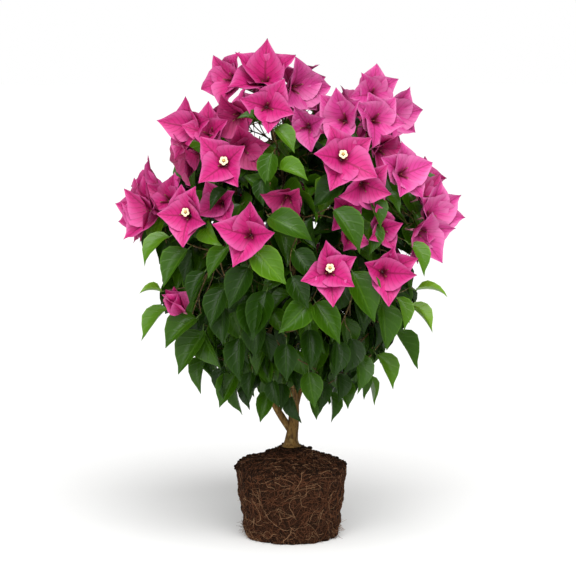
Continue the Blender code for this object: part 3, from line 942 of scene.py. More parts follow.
@dataclass(frozen=True)
class Framework:
    """The trunk, the second stem and the boughs as lines and radii."""

    trunk_foot: float = BALL_HEIGHT + 0.018 + 0.0003  # the mound's height and a gap
    trunk_radius: float = 0.0074
    trunk_tip_radius: float = 0.0030
    flare_radius: float = 0.0042
    flare_height: float = 0.008
    trunk_bends: tuple = ((0.0030, 0.0, 0.150), (-0.0020, 0.0020, 0.215), (0.0040, 0.0, 0.290),
                          (-0.0060, -0.004, 0.365))
    fork_height: float = 0.123
    left_stem_radius: float = 0.0046
    left_stem_bends: tuple = ((-0.0200, 0.0, 0.157), (-0.0370, 0.0, 0.205), (-0.0480, -0.012, 0.285))
    bough_share: float = 0.62
    bough_rise: float = 0.16
    bough_tip_radius: float = 0.0021
    bough_least: float = 0.0003
    bough_reach: float = 0.40
    low_bough_extra: float = 0.15
    limb_steps: int = 3
    fine_steps: int = 14
    bough_points: int = 5

    def trunk(self, crown: Crown) -> Limb:
        """The trunk, from its level cut on the mound to its tip.

        Args:
            crown: The crown that it grows into.

        Returns:
            The limb.
        """
        foot = Vector((0.0, 0.0, self.trunk_foot))
        rise = Vector((0.0, 0.0, self.trunk_foot + self.flare_height))
        bends = [rise, *(Vector(bend) for bend in self.trunk_bends),
                 crown.point(MASSES["top"].way(), self.bough_reach)]
        line = [foot, foot.lerp(rise, 0.4), *smooth_line(bends, self.limb_steps)]
        radii = taper(self.trunk_radius, self.trunk_tip_radius, len(line))
        fade = 0.6 * self.flare_height
        radii = [radius + self.flare_radius * math.exp(-(place.z - self.trunk_foot) / fade)
                 for radius, place in zip(radii, line)]
        return Limb(line, radii, [foot, foot.lerp(rise, 0.4), *smooth_line(bends, self.fine_steps)])

    def left_stem(self, crown: Crown, trunk: Limb) -> Limb:
        """The second stem, from inside the trunk at the fork to its tip.

        Args:
            crown: The crown that it grows into.
            trunk: The trunk that it leaves.

        Returns:
            The limb.
        """
        start = min(trunk.line, key=lambda place: abs(place.z - self.fork_height)).copy()
        bends = [start, *(Vector(bend) for bend in self.left_stem_bends),
                 crown.point(MASSES["left"].way(), self.bough_reach)]
        line = smooth_line(bends, self.limb_steps)
        radii = taper(self.left_stem_radius, self.bough_tip_radius, len(line))
        return Limb(line, radii, smooth_line(bends, self.fine_steps))

    def bough(self, crown: Crown, plan: MassPlan, parent: Limb) -> Limb:
        """The bough that carries a mass.

        Args:
            crown: The crown that it grows into.
            plan: The mass.
            parent: The limb that it leaves.

        Returns:
            The limb.
        """
        start, along = at_share(parent.line, plan.share)
        way = plan.way()
        end = crown.point(way, self.bough_reach + self.low_bough_extra * max(0.0, -way.z))
        pull = start.lerp(end, 0.5) + along * self.bough_rise * (end - start).length
        thick = self.bough_share * parent.radii[round(plan.share * (len(parent.radii) - 1))]
        thick = max(thick, self.bough_tip_radius + self.bough_least)
        radii = taper(thick, self.bough_tip_radius, self.bough_points)
        return Limb(bent_line(start, pull, end, self.bough_points), radii,
                    bent_line(start, pull, end, self.bough_points * self.fine_steps))

    def limbs(self, crown: Crown) -> dict[str, Limb]:
        """Every limb by its name.

        Args:
            crown: The crown that they grow into.

        Returns:
            The limbs, parents first.
        """
        found = {"trunk": self.trunk(crown)}
        found["left_stem"] = self.left_stem(crown, found["trunk"])
        for name, plan in MASSES.items():
            if plan.share < 1.0:
                found[f"{name}_bough"] = self.bough(crown, plan, found[plan.parent])
        return found


# --- The front view ---


@dataclass(frozen=True)
class FrontView:
    """The crown as the eye sees it: a spot of this view is a place behind it in the crown.

    Attributes:
        crown: The crown.
        step: The size of one unit of the view in metres, at the point that the eye looks at.
        centre: The spot of that point, in units to the right and down.
        nearest: The least y that a place may have.
        halvings: How often the stretch in which a place is sought is halved.
    """

    crown: Crown
    step: float = 0.001645
    centre: Spot = (145.2, 284.3)
    nearest: float = -0.23
    halvings: int = 16

    def at_depth(self, spot: Spot, y: float) -> Vector:
        """The place behind a spot that lies at a y.

        Args:
            spot: The spot.
            y: How far back the place lies.

        Returns:
            The place.
        """
        eye = Vector(EYE)
        across = Vector((1.0, 0.0, 0.0))
        rise = across.cross(Vector(AIM) - eye).normalized()
        aside = (spot[0] - self.centre[0]) * self.step
        above = (self.centre[1] - spot[1]) * self.step
        sight = Vector(AIM) + across * aside + rise * above - eye
        return eye + sight * ((y - eye.y) / sight.y)

    def place(self, spot: Spot, reach: float) -> Vector:
        """The place behind a spot that lies at a share of the crown's radius.

        Args:
            spot: The spot.
            reach: The share.

        Returns:
            The place, or where the line of sight comes nearest to that share.
        """
        near, far = self.nearest, 0.0
        for _ in range(self.halvings):
            y = 0.5 * (near + far)
            if self.crown.reach(self.at_depth(spot, y)) > reach:
                near = y
            else:
                far = y
        return self.at_depth(spot, far)


# --- The blades: leaves and bracts ---


BLADE_RISES = (1.0, 0.46, 0.0, 0.46, 1.0)
RIPPLE_PACE = 1.9
BLADE_LEAST = 0.0001
BLADE_MERGE = 0.0005


@dataclass(frozen=True)
class Blade:
    """A leaf or a bract one unit long: a flat grid, shaped, folded at its midrib and bent.

    Attributes:
        shares: Where its rows lie along its length.
        widths: Its half width at each row, as a share of its length.
        bends: Degrees that it turns down at each row between the first and the last.
        fold: How far its edges rise over the midrib, as a share of the half width.
        ripple: How far its edge waves up and down, as a share of its length.
        lean: How far its tip swings to one side, in degrees.
        level: Whether the bent blade is turned until its tip is level with its base.
    """

    shares: tuple[float, ...]
    widths: tuple[float, ...]
    bends: tuple[float, ...]
    fold: float
    ripple: float = 0.0
    lean: float = 0.0
    level: bool = False

    def shape(self) -> Shape:
        """Model the blade: its base at the origin, its length along +Y, its upper face up.

        Returns:
            The shape.
        """
        columns = len(BLADE_RISES) - 1
        rows = len(self.shares)
        bpy.ops.object.select_all(action="DESELECT")
        bpy.ops.mesh.primitive_grid_add(x_subdivisions=columns, y_subdivisions=rows - 1, size=1.0,
                                        location=(0.0, 0.5, 0.0))
        blade = bpy.context.object
        apply_place()
        open_tool(blade)
        row = [set(range(index * (columns + 1), (index + 1) * (columns + 1))) for index in range(rows)]
        for column, rise in enumerate(BLADE_RISES):
            choose(blade, {index * (columns + 1) + column for index in range(rows)})
            bpy.ops.transform.translate(value=(0.0, 0.0, 0.5 * self.fold * rise))
        for index in range(rows):
            choose(blade, row[index])
            share = self.shares[index]
            bpy.ops.transform.translate(value=(0.0, share - index / (rows - 1), 0.0))
            wide = max(2.0 * self.widths[index], BLADE_LEAST)
            bpy.ops.transform.resize(value=(wide, 1.0, wide), center_override=(0.0, share, 0.0))
        for index in range(1, rows - 1):
            wave = self.ripple * math.sin(index * RIPPLE_PACE)
            for column, side in ((0, 1.0), (columns, -1.0)):
                choose(blade, {index * (columns + 1) + column})
                bpy.ops.transform.translate(value=(0.0, 0.0, wave * side))
        for index in range(1, rows - 1):
            work = choose(blade, set().union(*row[index + 1:]))
            work.verts.ensure_lookup_table()
            hinge = work.verts[index * (columns + 1) + columns // 2].co.copy()
            bpy.ops.transform.rotate(value=math.radians(self.bends[index - 1]), orient_axis="X",
                                     center_override=hinge)
            bpy.ops.transform.rotate(value=math.radians(self.lean / rows), orient_axis="Z",
                                     center_override=hinge)
        if self.level:
            work = choose(blade, set().union(*row))
            work.verts.ensure_lookup_table()
            tip = work.verts[-1].co
            bpy.ops.transform.rotate(value=-math.atan2(-tip.z, tip.y), orient_axis="X",
                                     center_override=(0.0, 0.0, 0.0))
        bpy.ops.mesh.select_all(action="SELECT")
        bpy.ops.mesh.remove_doubles(threshold=BLADE_MERGE)
        bpy.ops.object.mode_set(mode="OBJECT")
        return take_shape(blade)


LEAF_ROWS = (0.0, 0.07, 0.18, 0.33, 0.50, 0.67, 0.84, 1.0)
LEAF_WIDTHS = (0.025, 0.160, 0.268, 0.318, 0.290, 0.198, 0.070, 0.0)
LEAF_SLIM = (0.02, 0.135, 0.230, 0.275, 0.252, 0.172, 0.062, 0.0)
LEAVES_SPREADING = (
    Blade(LEAF_ROWS, LEAF_WIDTHS, (7, 8, 9, 10, 12, 14), 0.85, 0.012, 12, True),
    Blade(LEAF_ROWS, LEAF_SLIM, (5, 7, 8, 12, 14, 16), 0.65, -0.016, -16, True),
    Blade(LEAF_ROWS, LEAF_WIDTHS, (9, 10, 11, 11, 9, 6), 1.00, 0.010, 6, True),
)
LEAVES_HANGING = (
    Blade(LEAF_ROWS, LEAF_WIDTHS, (4, 5, 5, 5, 4, -4), 0.85, 0.010, 10, True),
    Blade(LEAF_ROWS, LEAF_WIDTHS, (6, 6, 4, 3, 0, -6), 0.70, -0.014, -12, True),
    Blade(LEAF_ROWS, LEAF_SLIM, (3, 4, 6, 6, 6, 4), 1.00, 0.012, 4, True),
)
BRACT_ROWS = (0.0, 0.08, 0.19, 0.32, 0.46, 0.60, 0.73, 0.84, 0.93, 1.0)
BRACT_WIDTHS = (0.05, 0.20, 0.35, 0.430, 0.430, 0.350, 0.225, 0.120, 0.045, 0.0)
BRACT_SLIM = (0.05, 0.18, 0.31, 0.380, 0.380, 0.305, 0.195, 0.102, 0.038, 0.0)
BRACT_KINDS = (
    Blade(BRACT_ROWS, BRACT_WIDTHS, (6, 8, 7, 3, 0, 5, 8, 10), 0.50, 0.032, 7),
    Blade(BRACT_ROWS, BRACT_WIDTHS, (8, 11, 8, 6, 4, 8, 11, 14), 0.40, -0.038, -12),
    Blade(BRACT_ROWS, BRACT_SLIM, (5, 8, 7, 4, 0, -3, 0, 2), 0.60, 0.026, 6),
    Blade(BRACT_ROWS, BRACT_SLIM, (7, 9, 9, 6, 3, 2, -4, -6), 0.50, 0.040, 13),
)
BRACT_CLOSED = Blade(BRACT_ROWS, BRACT_WIDTHS, (2, 3, 3, 2, -3, -5, -5, -4), 0.70, 0.020, 4)


# --- The blossoms ---


class Cut(Enum):
    """The outline of a blossom's bracts: the numbers of the bract kinds that share it."""

    BROAD = (0, 1)
    SLIM = (2, 3)


class Heart(Enum):
    """What stands in the middle of a blossom."""

    CLOSED_TUBES = "closed_tubes"
    OPEN_FLOWER = "open_flower"


class Opening(Enum):
    """How far a blossom has opened: the degrees that its bracts rise at their base."""

    WIDE = 57.0
    HALF = 68.0
    SHUT = 81.0


@dataclass(frozen=True)
class Lead:
    """A blossom that leads the front of the plant, placed one by one.

    Attributes:
        spot: Where its throat shows in the front view.
        reach: Its place as a share of the crown's radius.
        face_azimuth: Where it looks, in degrees from the front towards +X.
        face_elevation: How far it looks up, in degrees.
        length: Its bracts' length in metres.
        lobes: Where its bracts point, in degrees from up, anticlockwise as seen.
        heart: What stands in its middle.
        opening: How far it has opened.
        tint: Which of the bract finishes it has, from 0 for the deepest, painted shade, to 2 for the
            palest, painted light.
        cut: The outline of its bracts.
    """

    spot: Spot
    reach: float
    face_azimuth: float
    face_elevation: float
    length: float
    lobes: tuple[float, ...]
    heart: Heart = Heart.CLOSED_TUBES
    opening: Opening = Opening.WIDE
    tint: int = 1
    cut: Cut = Cut.BROAD


@dataclass(frozen=True)
class LeafLead:
    """A leaf that leads the front of the plant, placed one by one.

    Attributes:
        base: Where its base shows in the front view.
        tip: Where its tip shows there.
        reach: Its base as a share of the crown's radius.
        tint: Which of the leaf finishes it has, from 0 for the deepest, painted shade, to 3 for the
            palest, painted light.
        skyward: How far its upper face looks up and not outward.
    """

    base: Spot
    tip: Spot
    reach: float
    tint: int
    skyward: float = 0.5


# Base and tip in the front view, reach, tint and skyward.
LEAF_LEADS = tuple(LeafLead(*row) for row in (
    # Between the clusters, high on the front.
    ((136, 171), (151, 188), 0.90, 2),
    ((134, 189), (128, 213), 0.92, 1),
    ((139, 200), (160, 208), 0.90, 2),
    ((126, 168), (109, 165), 0.95, 1),
    ((127, 207), (126, 227), 0.88, 0),
    ((102, 215), (90, 230), 0.88, 0),
    ((183, 207), (164, 229), 0.90, 0),
    ((132, 234), (160, 254), 0.90, 1),
    ((178, 229), (197, 260), 0.90, 1),
    ((203, 220), (212, 242), 0.88, 1),
    ((215, 217), (224, 232), 0.88, 1),
    ((205, 238), (203, 262), 0.86, 1),
    ((150, 258), (166, 280), 0.90, 0),
    # Round the middle, below the star.
    ((122, 256), (142, 284), 0.91, 2),
    ((102, 256), (89, 278), 0.90, 1),
    ((117, 270), (105, 300), 0.92, 0),
    ((148, 276), (158, 300), 0.92, 0),
    ((165, 295), (183, 324), 0.93, 1),
    ((160, 294), (140, 318), 0.93, 1),
    ((191, 273), (204, 310), 0.90, 1),
    ((222, 291), (228, 315), 0.90, 2),
    # The outermost ones on the right, young, in the palest tints as painted light where the key light
    # falls.
    ((231, 253), (243, 276), 0.92, 2),
    ((236, 286), (258, 292), 0.92, 3, 2.2),
    ((231, 297), (248, 316), 0.90, 3, 1.6),
    # The outermost ones on the left.
    ((74, 257), (58, 285), 0.90, 1),
    ((61, 248), (42, 268), 0.90, 2),
    ((86, 273), (76, 296), 0.88, 0),
    ((55, 287), (40, 289), 0.92, 3, 1.4),
    ((60, 299), (40, 321), 0.90, 2, 0.9),
    ((80, 306), (59, 328), 0.88, 1),
    # The hanging ones of the lower dome.
    ((86, 316), (69, 347), 0.85, 1),
    ((85, 314), (96, 343), 0.85, 1),
    ((88, 332), (84, 360), 0.86, 1),
    ((108, 346), (98, 370), 0.85, 1),
    ((109, 352), (112, 375), 0.85, 1),
    ((131, 358), (126, 380), 0.86, 1),
    ((148, 361), (156, 380), 0.86, 0),
    ((163, 360), (164, 378), 0.87, 1),
    ((174, 358), (176, 380), 0.86, 1),
    ((182, 350), (189, 370), 0.85, 1),
    ((201, 346), (206, 368), 0.86, 2),
    ((194, 331), (195, 360), 0.86, 1),
    ((208, 332), (221, 356), 0.85, 2),
    ((221, 315), (236, 343), 0.85, 1),
    ((111, 320), (112, 351), 0.87, 0),
    ((120, 292), (121, 322), 0.91, 0),
    ((144, 324), (142, 351), 0.87, 0),
    ((160, 314), (162, 343), 0.88, 0),
    ((135, 350), (140, 369), 0.85, 0),
    ((160, 344), (162, 370), 0.87, 1),
    ((180, 322), (178, 349), 0.86, 0),
    ((195, 285), (201, 310), 0.89, 0),
    ((212, 295), (213, 329), 0.90, 1),
    ((120, 344), (118, 364), 0.83, 0),
    ((190, 320), (186, 347), 0.83, 0),
    ((100, 285), (88, 312), 0.89, 0),
    ((130, 287), (121, 322), 0.90, 0),
    ((123, 307), (124, 335), 0.85, 0),
    ((100, 298), (97, 325), 0.87, 0),
    ((75, 318), (80, 340), 0.83, 1),
    ((118, 352), (119, 371), 0.84, 0),
    ((141, 352), (139, 371), 0.84, 0),
    ((167, 350), (168, 373), 0.85, 0),
    ((181, 345), (182, 366), 0.84, 0),
    ((196, 342), (198, 364), 0.84, 1),
    ((101, 340), (100, 363), 0.84, 0),
))

# Spot in the front view, reach, face azimuth and elevation, length and lobes.
LEADS = (
    # The topmost cluster.
    Lead((108, 137), 0.86, -38, 10, 0.041, (40, 112, 180, 260, 325)),
    Lead((129, 141), 0.86, -6, 42, 0.059, (357, 70, 140, 220, 290), opening=Opening.HALF, cut=Cut.SLIM),
    Lead((147, 142), 0.82, 42, -2, 0.045, (15, 300, 262, 215, 120), tint=2),
    Lead((130, 156), 0.93, 6, 4, 0.039, (72, 325, 258, 187)),
    Lead((112, 161), 0.84, -30, -16, 0.041, (75, 120, 178, 20, 290), tint=0),
    # The cluster to its left.
    Lead((81, 171), 0.88, -34, 4, 0.044, (3, 82, 160, 295), cut=Cut.SLIM),
    Lead((91, 176), 0.84, -14, 20, 0.038, (12, 300, 84, 190), cut=Cut.SLIM),
    Lead((82, 189), 0.84, -70, -20, 0.044, (30, 95, 150, 215, 300), tint=0),
    Lead((101, 197), 0.91, -8, 6, 0.044, (40, 312, 220, 130), Heart.OPEN_FLOWER),
    Lead((112, 184), 0.80, 12, -14, 0.036, (10, 80, 290, 220), tint=0),
    # The blossoms that reach furthest left.
    Lead((54, 232), 0.88, -60, 8, 0.048, (358, 42, 82, 300, 150), cut=Cut.SLIM),
    Lead((51, 230), 0.88, -62, -6, 0.048, (75, 117, 155, 210, 0), cut=Cut.SLIM),
    Lead((62, 223), 0.80, -26, 16, 0.034, (340, 290, 60, 150), cut=Cut.SLIM),
    Lead((76, 233), 0.92, -22, 4, 0.041, (8, 88, 180, 258, 326), Heart.OPEN_FLOWER),
    Lead((119, 247), 0.915, -8, 4, 0.048, (357, 74, 160, 280), cut=Cut.SLIM),
    Lead((71, 301), 0.93, -46, 46, 0.034, (0, 72, 144, 216, 288), opening=Opening.SHUT),
    # The cluster at the upper right, pale as painted light where the key light falls.
    Lead((204, 148), 0.82, 8, 16, 0.036, (348, 38, 296, 100, 230), tint=2),
    Lead((215, 162), 0.80, 44, 6, 0.042, (338, 278, 227, 60, 150), tint=2),
    Lead((205, 166), 0.88, 24, 10, 0.041, (262, 60, 160, 20, 320), tint=2),
    Lead((186, 166), 0.84, -22, 12, 0.041, (8, 48, 92, 175, 315), tint=2),
    Lead((183, 193), 0.92, 8, 10, 0.047, (14, 86, 158, 230, 302), Heart.OPEN_FLOWER),
    Lead((206, 185), 0.85, 48, -8, 0.036, (280, 40, 160, 340), opening=Opening.HALF),
    Lead((197, 210), 0.88, 18, -14, 0.042, (216, 320, 100, 270)),
    Lead((224, 204), 0.90, 30, 10, 0.040, (6, 279, 60, 150, 215), tint=2),
    Lead((160, 170), 0.78, -12, 0, 0.030, (30, 110, 190, 300), tint=2),
    # The blossoms that reach furthest right.
    Lead((242, 234), 0.88, 38, 10, 0.046, (358, 308, 263, 60, 150), tint=2, cut=Cut.SLIM),
    Lead((235, 243), 0.88, 40, -14, 0.046, (280, 221, 150, 20), tint=2, cut=Cut.SLIM),
    Lead((238, 221), 0.80, 44, 12, 0.036, (20, 90, 170, 250, 320)),
    Lead((174, 273), 0.925, 6, 8, 0.042, (11, 112, 184, 241, 302), Heart.OPEN_FLOWER, cut=Cut.SLIM),
    Lead((212, 273), 0.92, 12, 4, 0.045, (351, 69, 187, 263, 304), cut=Cut.SLIM),
    # Half hidden ones between the leaves.
    Lead((145, 218), 0.84, -4, -30, 0.036, (160, 230, 60, 320), tint=0),
    Lead((185, 227), 0.74, 10, -8, 0.034, (150, 210, 300, 50), opening=Opening.HALF),
    Lead((187, 249), 0.78, 16, 6, 0.030, (20, 140, 250), opening=Opening.HALF),
    Lead((209, 243), 0.82, 28, 6, 0.034, (20, 110, 200, 290), opening=Opening.HALF),
    Lead((99, 224), 0.78, -20, 4, 0.034, (30, 120, 210, 300)),
)
# In the part, the shoots are numbered after as many leading blossoms.
CAD_LEAD_COUNT = 18


@dataclass
class Crowd:
    """The blades grown so far, kept by place, so that a new one is tried against its neighbours."""

    cell: float = 0.05
    cells: dict[tuple[int, int, int], list[BVHTree]] = field(default_factory=dict)

    def near(self, points: np.ndarray) -> list[tuple[int, int, int]]:
        """The keys of the cells round some points.

        Args:
            points: The points, one row each.

        Returns:
            The keys.
        """
        low = np.floor(points.min(axis=0) / self.cell).astype(int)
        high = np.floor(points.max(axis=0) / self.cell).astype(int)
        return [(x, y, z) for x in range(low[0], high[0] + 1) for y in range(low[1], high[1] + 1)
                for z in range(low[2], high[2] + 1)]

    def touches(self, tree: BVHTree, points: np.ndarray) -> bool:
        """Whether a new blade crosses one that stands already.

        Args:
            tree: The new blade's search tree.
            points: Its corners.

        Returns:
            True if it crosses another.
        """
        seen = set()
        for key in self.near(points):
            for other in self.cells.get(key, ()):
                if id(other) not in seen and tree.overlap(other):
                    return True
                seen.add(id(other))
        return False

    def keep(self, tree: BVHTree, points: np.ndarray) -> None:
        """Remember a blade by its search tree and its corners."""
        for key in self.near(points):
            self.cells.setdefault(key, []).append(tree)


def search_tree(shape: Shape, points: np.ndarray) -> BVHTree:
    """The search tree of a shape whose corners are at these points."""
    return BVHTree.FromPolygons(points.tolist(), shape.faces)


@dataclass
class Node:
    """A place on the wood that a new twig may leave: path is its way back to the mass's foot."""

    point: Vector
    heading: Vector
    path: float
    radius: float


@dataclass
class Twigs:
    """The wood of one mass: its stem and the twigs that leave it by the least effort."""

    stem_radius: float = 0.0022
    twig_radius: float = 0.0013
    tip_radius: float = 0.0007
    stem_reach: float = 0.74
    stem_bend: float = 0.35
    stem_points: int = 9
    twig_points: int = 6
    straight: float = 0.003
    clear: float = 0.0003
    turn_easy: float = math.radians(25)
    path_weight: float = 0.30
    bend_share: float = 0.32
    shares: tuple = (0.15, 0.35, 0.55, 0.75, 1.0)
    fork_shares: tuple = (0.25, 0.5, 0.75, 1.0)
    nodes: list = field(default_factory=list)

    def grow_stem(self, crown: Crown, plan: MassPlan, limb: Limb) -> tuple[Line, list[float]]:
        """Grow the mass's stem from its limb's tip.

        Args:
            crown: The crown that it fills.
            plan: The mass.
            limb: The limb.

        Returns:
            The stem's line and radii.
        """
        along = (limb.line[-1] - limb.line[-2]).normalized()
        root = limb.line[-1] + along * self.clear
        start = root + along * self.straight
        end = crown.point(plan.way(), self.stem_reach)
        pull = start + along * self.stem_bend * (end - start).length
        line = [root, *bent_line(start, pull, end, self.stem_points)]
        for share in self.shares:
            point, heading = at_share(line, share)
            radius = self.stem_radius + (self.twig_radius - self.stem_radius) * share
            self.nodes.append(Node(point, heading, share * (end - root).length, radius))
        return line, taper(self.stem_radius, self.twig_radius, len(line))

    def effort(self, node: Node, place: Vector) -> float:
        """How hard it is to reach a place from a node.

        Args:
            node: The node.
            place: The place.

        Returns:
            The length of the way, more where it turns and where the node is far from the foot.
        """
        reach = place - node.point
        turn = node.heading.angle(reach, 0.0)
        return reach.length * (1.0 + max(0.0, turn - self.turn_easy)) + self.path_weight * node.path

    def reach_for(self, place: Vector) -> tuple[Line, list[float]]:
        """Grow a twig to a place from the wood that reaches it with the least effort.

        Args:
            place: Where the twig's tip goes.

        Returns:
            The twig's line and radii.
        """
        node = min(self.nodes, key=lambda node: self.effort(node, place))
        length = (place - node.point).length
        pull = node.point + node.heading * self.bend_share * length
        line = bent_line(node.point, pull, place, self.twig_points)
        thick = min(0.85 * node.radius, self.twig_radius)
        thin = min(self.tip_radius, thick * 0.8)
        for share in self.fork_shares:
            point, heading = at_share(line, share)
            radius = thick + (thin - thick) * share
            self.nodes.append(Node(point, heading, node.path + share * length, radius))
        return line, taper(thick, thin, self.twig_points)


@dataclass
class Site:
    """A twig's end that waits for its leaves: how many, their size and how much room they have."""

    line: Line
    count: int
    size: float
    room: float
    seed: str


@dataclass
class Foliage:
    """The masses of leaves and blossom, regrown with finer twigs within the same reach."""

    crown: Crown
    # Leaves: lengths in metres, and a slope under which a leaf hangs.
    leaf_length: float = 0.070
    leaf_sizes: tuple = (0.76, 1.06)
    leaf_twist: float = math.radians(30)
    leaf_wander: float = 0.24
    leaf_spacing: float = 0.010
    leaf_tries: int = 6
    leaf_scales: tuple = (1.0, 0.84)
    leaves_on_shoot: int = 6
    leaves_under_blossom: int = 4
    under_blossom_size: float = 0.86
    hang_slope: float = -0.72
    petiole: float = 0.007
    petiole_radius: float = 0.00055
    petiole_lift: float = 0.35
    droop_high: float = math.radians(46)
    droop_low: float = math.radians(80)
    low_from: float = -0.15
    low_fade: float = 0.55
    spread_high: float = 0.80
    spread_less: float = 0.45
    front_lean: float = 0.9
    shrink_low: float = 0.25
    # Painted light and shade: the steps between the leaf tints, and the depth within which a leaf takes
    # the darkest.
    tint_steps: tuple = (0.34, 0.76, 1.00)
    shade_depth: float = 0.60
    # Where twigs end: shares of the filled crown, and the layers of fine twigs within it.
    blossom_reach: float = 0.90
    leaf_reach: float = 0.81
    reach_play: tuple = (-0.035, 0.025)
    layers: tuple = ((0.87, 400, 3), (0.74, 280, 3), (0.58, 150, 3))
    layer_play: tuple = (-0.07, 0.0)
    layer_sizes: tuple = (0.82, 0.95, 0.95)
    layer_skirt: float = 8.0
    light_dent: float = 0.14
    # Room: what stays open round the leading blades, the fork of the stems and the gaps.
    open_reach: float = 0.045
    open_angle: float = math.radians(42)
    free_azimuth: float = 128.0
    high_room: float = 0.90
    low_room: float = 0.87
    room_margin: float = 0.10
    room_fade: float = 0.2
    front_azimuth: float = 94.0
    front_elevation: float = 58.0
    fork_window: tuple = (-0.022, 0.002, 0.02, 0.158)
    tip_forward: float = 0.007
    windows: tuple = ((128, 174), (58, 195))
    window_radius: float = 0.010
    # Blossoms: their bracts, tubes, pedicels and buds.
    bract_length: float = 0.041
    bract_sizes: tuple = (0.90, 1.08)
    bract_play: float = 9.0
    lobe_play: float = 3.0
    lift_play: float = 8.0
    lift_step: float = 6.0
    throat_radius: float = 0.0016
    tube_length: float = 0.013
    tube_radius: float = 0.0008
    tube_profile: tuple = (1.3, 0.9, 1.0, 1.35, 0.9)
    tube_lean: tuple = (12.0, 26.0)
    tube_apart: float = 0.0012
    open_tube_radii: tuple = (0.0010, 0.0008, 0.0009, 0.0012, 0.0016)
    flower_radius: float = 0.0050
    eye_radius: float = 0.0013
    pedicel_offset: tuple = (0.010, 0.006, 0.002)
    pedicel_radii: tuple = (0.0006, 0.0006, 0.0007, 0.0009, 0.0016)
    bud_chance: float = 0.45
    bud_stalk: float = 0.007
    bud_lengths: tuple = (0.006, 0.011)
    bud_radii: tuple = (0.0005, 0.0016, 0.0021, 0.0014, 0.0002)
    open_share: float = 0.13
    half_open_share: float = 0.15
    beside_gap: float = 0.25
    beside_angles: tuple = (9.0, 15.0)
    beside_tilts: tuple = (18.0, 40.0)
    first_tilts: tuple = (0.0, 14.0)

    def __post_init__(self) -> None:
        """Model the shapes that repeat and open a stock for each kind of piece."""
        self.spreading = [kind.shape() for kind in LEAVES_SPREADING]
        self.hanging = [kind.shape() for kind in LEAVES_HANGING]
        self.bract_shapes = [kind.shape() for kind in BRACT_KINDS]
        self.closed_bract = BRACT_CLOSED.shape()
        self.twig_rod = rod_shape(5, 5)
        self.stalk_rod = rod_shape(4, 2)
        self.tube_rod = rod_shape(6, 4)
        self.flower_shape = self.model_flower()
        self.eye_shape = self.model_eye()
        self.view = FrontView(self.crown)
        self.open_lines = []
        for spot in self.windows:
            front, back = self.view.at_depth(spot, 0.0), self.view.at_depth(spot, 0.1)
            self.open_lines.append((np.array(front), np.array((back - front).normalized())))
        self.crowd = Crowd()
        self.sites: list[Site] = []
        self.throats: list[tuple[float, ...]] = []
        self.faces: list[tuple[float, ...]] = []
        self.leaves = [Stock(f"leaves_{tint}", finish, "foliage") for tint, finish in LEAF_TINTS.items()]
        self.bracts = [Stock(f"bracts_{tint}", finish, "blossom") for tint, finish in BRACT_TINTS.items()]
        self.twigs = Stock("twigs", TWIG_BARK, "bark")
        self.stalks = Stock("leaf_stalks", STALK_SKIN, "foliage")
        self.pedicels = Stock("pedicels", PEDICEL_SKIN, "blossom")
        self.tubes = Stock("flower_tubes", TUBE_SKIN, "blossom")
        self.tube_tips = Stock("flower_tube_tips", TUBE_TIP, "blossom")
        self.buds = Stock("bract_buds", BUD_SKIN, "blossom")
        self.flowers = Stock("open_flowers", FLOWER_CREAM, "blossom")
        self.eyes = Stock("flower_eyes", FLOWER_EYE, "blossom")

    def model_flower(self) -> Shape:
        """Model the open flower's five-lobed cream collar, one unit in radius, facing +Z.

        Returns:
            The shape.
        """
        bpy.ops.object.select_all(action="DESELECT")
        bpy.ops.mesh.primitive_circle_add(vertices=20, radius=1.0, fill_type="NGON")
        collar = bpy.context.object
        open_tool(collar)
        for numbers, size in ((range(0, 20, 4), 0.78), (range(1, 20, 2), 0.96)):
            choose(collar, set(numbers))
            bpy.ops.transform.resize(value=(size, size, 1.0), center_override=(0.0, 0.0, 0.0))
        bpy.ops.mesh.select_all(action="SELECT")
        bpy.ops.mesh.select_mode(type="FACE")
        for thickness, depth in ((0.30, 0.06), (0.16, -0.16), (0.06, -0.30)):
            bpy.ops.mesh.inset(thickness=thickness, depth=depth)
        bpy.ops.object.mode_set(mode="OBJECT")
        return take_shape(collar)

    def model_eye(self) -> Shape:
        """Model the small stamen head in the open flower, one unit in radius.

        Returns:
            The shape.
        """
        bpy.ops.object.select_all(action="DESELECT")
        bpy.ops.mesh.primitive_uv_sphere_add(segments=8, ring_count=5, radius=1.0)
        eye = bpy.context.object
        open_tool(eye)
        bpy.ops.mesh.select_all(action="SELECT")
        bpy.ops.transform.resize(value=(1.0, 1.0, 0.7), center_override=(0.0, 0.0, 0.0))
        bpy.ops.object.mode_set(mode="OBJECT")
        return take_shape(eye)

    def nearest(self, way: Vector) -> str:
        """The name of the mass whose own direction is nearest to a direction."""
        return max(MASSES, key=lambda name: MASSES[name].way().dot(way))

    def grow_twig(self, wood: Twigs, place: Vector) -> Line:
        """Grow a twig from a mass's wood to a place.

        Args:
            wood: The wood.
            place: Where the twig's tip goes.

        Returns:
            The twig's line.
        """
        line, radii = wood.reach_for(place)
        self.twigs.bend(self.twig_rod, line, radii)
        return line

